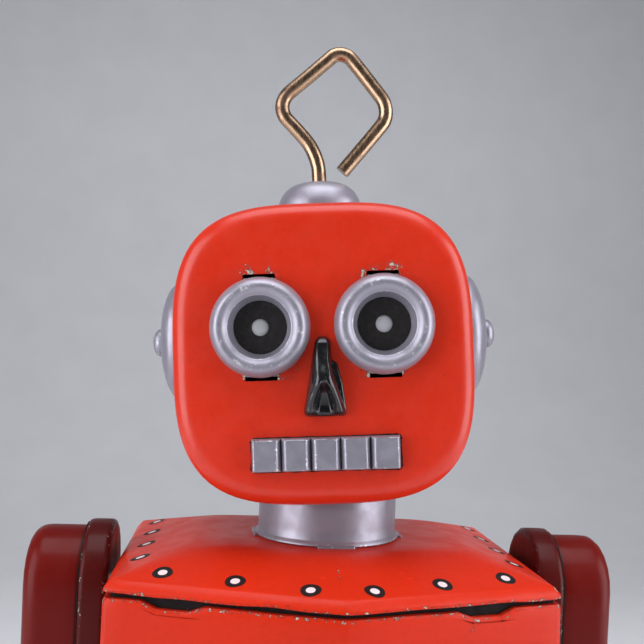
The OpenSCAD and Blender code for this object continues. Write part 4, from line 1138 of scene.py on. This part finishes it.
on_head("antenna", antenna_wire(), "wire", "antenna_metal", ("antenna_wire",), 40)

lid = shoulder_lid()
on_lid = above(lid)
place("lid", *lid, "red", "body", "red_tin", ("shoulder_lid",), sharp=34)
place("neck_tube", *neck(), "silver", "body", "silver_tin", ("neck",), sharp=40)
place("body_front_shell", *body_shell(True), "red", "body", "red_tin", ("torso_front",), sharp=34)
place("body_back_shell", *body_shell(False), "red", "body", "red_tin", ("torso_back",), sharp=34)
# Near-black strips inside the lid, as painted shade for the gap between lid and body.
place("front_upstand", *upstand(True), "soot", "body", "black_enamel")
place("back_upstand", *upstand(False), "soot", "body", "black_enamel")

rivets = [printed_rivet(on_lid, x, y) for x, y in LID_RIVETS]
for s in (-1, 1):
    rivets += [printed_rivet(onto_front, s * 36.4, z, 1.3, 0.6) for z in (74.0, 92.0, 110.0, 128.0)]
    rivets += [printed_rivet(onto_back, s * 33.4, z, 1.3, 0.6) for z in (73.0, 89.0, 105.0, 121.0, 137.0)]
rings, middles = zip(*rivets)

CHEST, VENT = box(9.0, 96.0, 31.0, 136.0, 2.0), box(-18.0, 84.0, 18.0, 124.0, 2.0)
DIAL_X = 20.0
over_field, over_dial = lifted(onto_front, 0.03), lifted(onto_front, 0.06)
frames = [printed_frame(onto_back, VENT)] + slats(onto_back, 0.0, 13.5, 1.0, 0.9, 91.0, 6)
fields, dials, pointers = [], [], []
for to_chest in (onto_front, right_chest):
    frames.append(printed_frame(to_chest, CHEST))
    fields.append(printed_field(to_chest, CHEST, FRAME_W))
for k, z in enumerate((127.0, 115.5, 104.5)):
    frames.append(printed_disc(over_field, DIAL_X, z, 4.6, 3.9))
    dials.append(printed_disc(over_field, DIAL_X, z, 3.9))
    turn = math.radians(35 + 50 * k)
    pointers.append(([over_dial(DIAL_X + r * math.cos(turn + d), z + r * math.sin(turn + d))
                      for r, d in ((3.3, 0.0), (0.5, 2.2), (0.5, -2.2))], [(0, 1, 2)]))
dials += slats(lifted(right_chest, 0.03), DIAL_X, 7.5, 0.9, 0.8, 101.0, 7)
place("chest_frames", *joined(*frames), "ink", "body", "black_enamel")
place("chest_fields", *joined(*fields), "blue", "body", "black_enamel")
place("chest_dials", *joined(*dials), "yellow", "body", "pupil_metal")
place("chest_pointers", *joined(*pointers), "ink", "body", "black_enamel")
place("printed_rivet_rings", *joined(*rings), "ink", "body", "black_enamel")
place("printed_rivet_middles", *joined(*middles), "pale", "body", "pupil_metal")

# The arms' pressings use darker reds that are partly painted shade, as said at ARM_RED and DARK_RED.
arm_parts = {
    "arm_inner_shell": (arm_inner, "dark_red", "dark_red_tin", "arm_inner"),
    "arm_outer_shell": (arm_outer, "arm_red", "red_tin", "arm_outer"),
    # The black ring at each arm's seam is painted shade for the gap.
    "arm_seam_line": (arm_seam_line, "ink", "black_enamel", None),
    "claw_pressing": (claw, "silver", "silver_tin", "claw"),
}
for side in ("left", "right"):
    for name, (build, material, slot, node) in arm_parts.items():
        sided(build, name, side, material, f"arm_{side}", slot, (f"{node}_{side}",) if node else ())
    sided(leg, "leg_box", side, "leg_red", f"leg_{side}", "dark_red_tin", (f"leg_{side}",), sharp=30)
    sided(foot, "foot_block", side, "leg_red", f"leg_{side}", "dark_red_tin", (f"foot_{side}",), sharp=30)
    sided(sole, "sole_plate", side, "sole", f"leg_{side}", "sole_metal", (f"sole_{side}",))

# CAD nodes that keep their own meshes, listed under their materials
KEPT = {
    "eye": "eye_disc_left eye_disc_right",
    "pupil": "pupils",
    "plated": "key",
    "blued": "mainspring click_spring",
    "brass": "motor_pillars ratchet_wheel great_wheel crank_wheel governor_fly",
    "steel": "antenna_washer base_plate wall_bushes motor_plate_left motor_plate_right motor_screws "
             "hip_pins winding_arbor click crank_axle crank_pinion crank_left crank_right governor_arbor "
             "governor_pinion leg_lever_left leg_lever_right shoulder_shaft_left shoulder_shaft_right "
             "rod_left rod_right",
}
for look, nodes in KEPT.items():
    for node in nodes.split():
        kept = bpy.data.objects[node]
        kept.data.materials.clear()
        kept.data.materials.append(MATERIALS[look])

# ---------- Stage ----------

def floor_material():
    """Matt pale paper."""
    s = Shader("paper floor")
    at = s.places()
    tone = s.mix(s.noise(at, 0.02, 3), (0.78, 0.78, 0.80), (0.86, 0.86, 0.87))
    return s.finish(tone, 0.85, specular=0.15)


def backdrop():
    """A floor that curves up into a wall well behind the robot."""
    near, far, bend = -1.6, 0.6, 0.5
    turns = [math.pi / 2 * k / 10 for k in range(1, 11)]
    section = [(near, 0.0), (far, 0.0)]
    section += [(far + bend * math.sin(a), bend - bend * math.cos(a)) for a in turns]
    section += [(1.1, 2.6)]
    verts, faces = sheet([[(x, y, z) for x in (-3.0, 3.0)] for y, z in section])
    mesh = bpy.data.meshes.new("floor")
    mesh.from_pydata(verts, [], faces)
    mesh.shade_smooth()
    mesh.materials.append(floor_material())
    floor = bpy.data.objects.new("floor", mesh)
    bpy.context.scene.collection.objects.link(floor)


def softbox(name, at, aim, size, power):
    """A soft rectangular light, in metres and watts, turned to face a point."""
    light = bpy.data.lights.new(name, "AREA")
    light.shape = "RECTANGLE"
    light.size, light.size_y = size
    light.energy = power
    light.color = COOL
    lamp = bpy.data.objects.new(name, light)
    lamp.matrix_world = (Matrix.Translation(at)
                         @ (Vector(aim) - Vector(at)).to_track_quat("-Z", "Y").to_matrix().to_4x4())
    bpy.context.scene.collection.objects.link(lamp)


COOL = (0.93, 0.95, 1.0)
backdrop()
softbox("left box", (-0.52, -0.24, 0.24), (0, 0, 0.18), (0.42, 0.7), 4.4)
softbox("right box", (0.52, -0.20, 0.26), (0, 0, 0.18), (0.42, 0.7), 4.4)
softbox("top box", (0.0, -0.12, 0.80), (0, 0, 0.17), (0.7, 0.5), 4.6)

bpy.context.scene.view_settings.view_transform = "Standard"
world = bpy.data.worlds.new("surroundings")
world.use_nodes = True
sky = world.node_tree.nodes["Background"]
sky.inputs["Color"].default_value = (0.85, 0.88, 0.92, 1)
sky.inputs["Strength"].default_value = 0.10
bpy.context.scene.world = world

camera_data = bpy.data.cameras.new("camera")
camera_data.lens = 49.88
camera_data.sensor_width = 36
camera = bpy.data.objects.new("camera", camera_data)
camera.matrix_world = (
    Matrix.Translation((-0.01794, -0.16552, 0.18659))
    @ Matrix.Rotation(math.radians(-5.384), 4, "Z")
    @ Matrix.Rotation(math.radians(90 + 2.208), 4, "X")
    @ Matrix.Rotation(math.radians(2.29), 4, "Z")
)
bpy.context.scene.collection.objects.link(camera)
bpy.context.scene.camera = camera
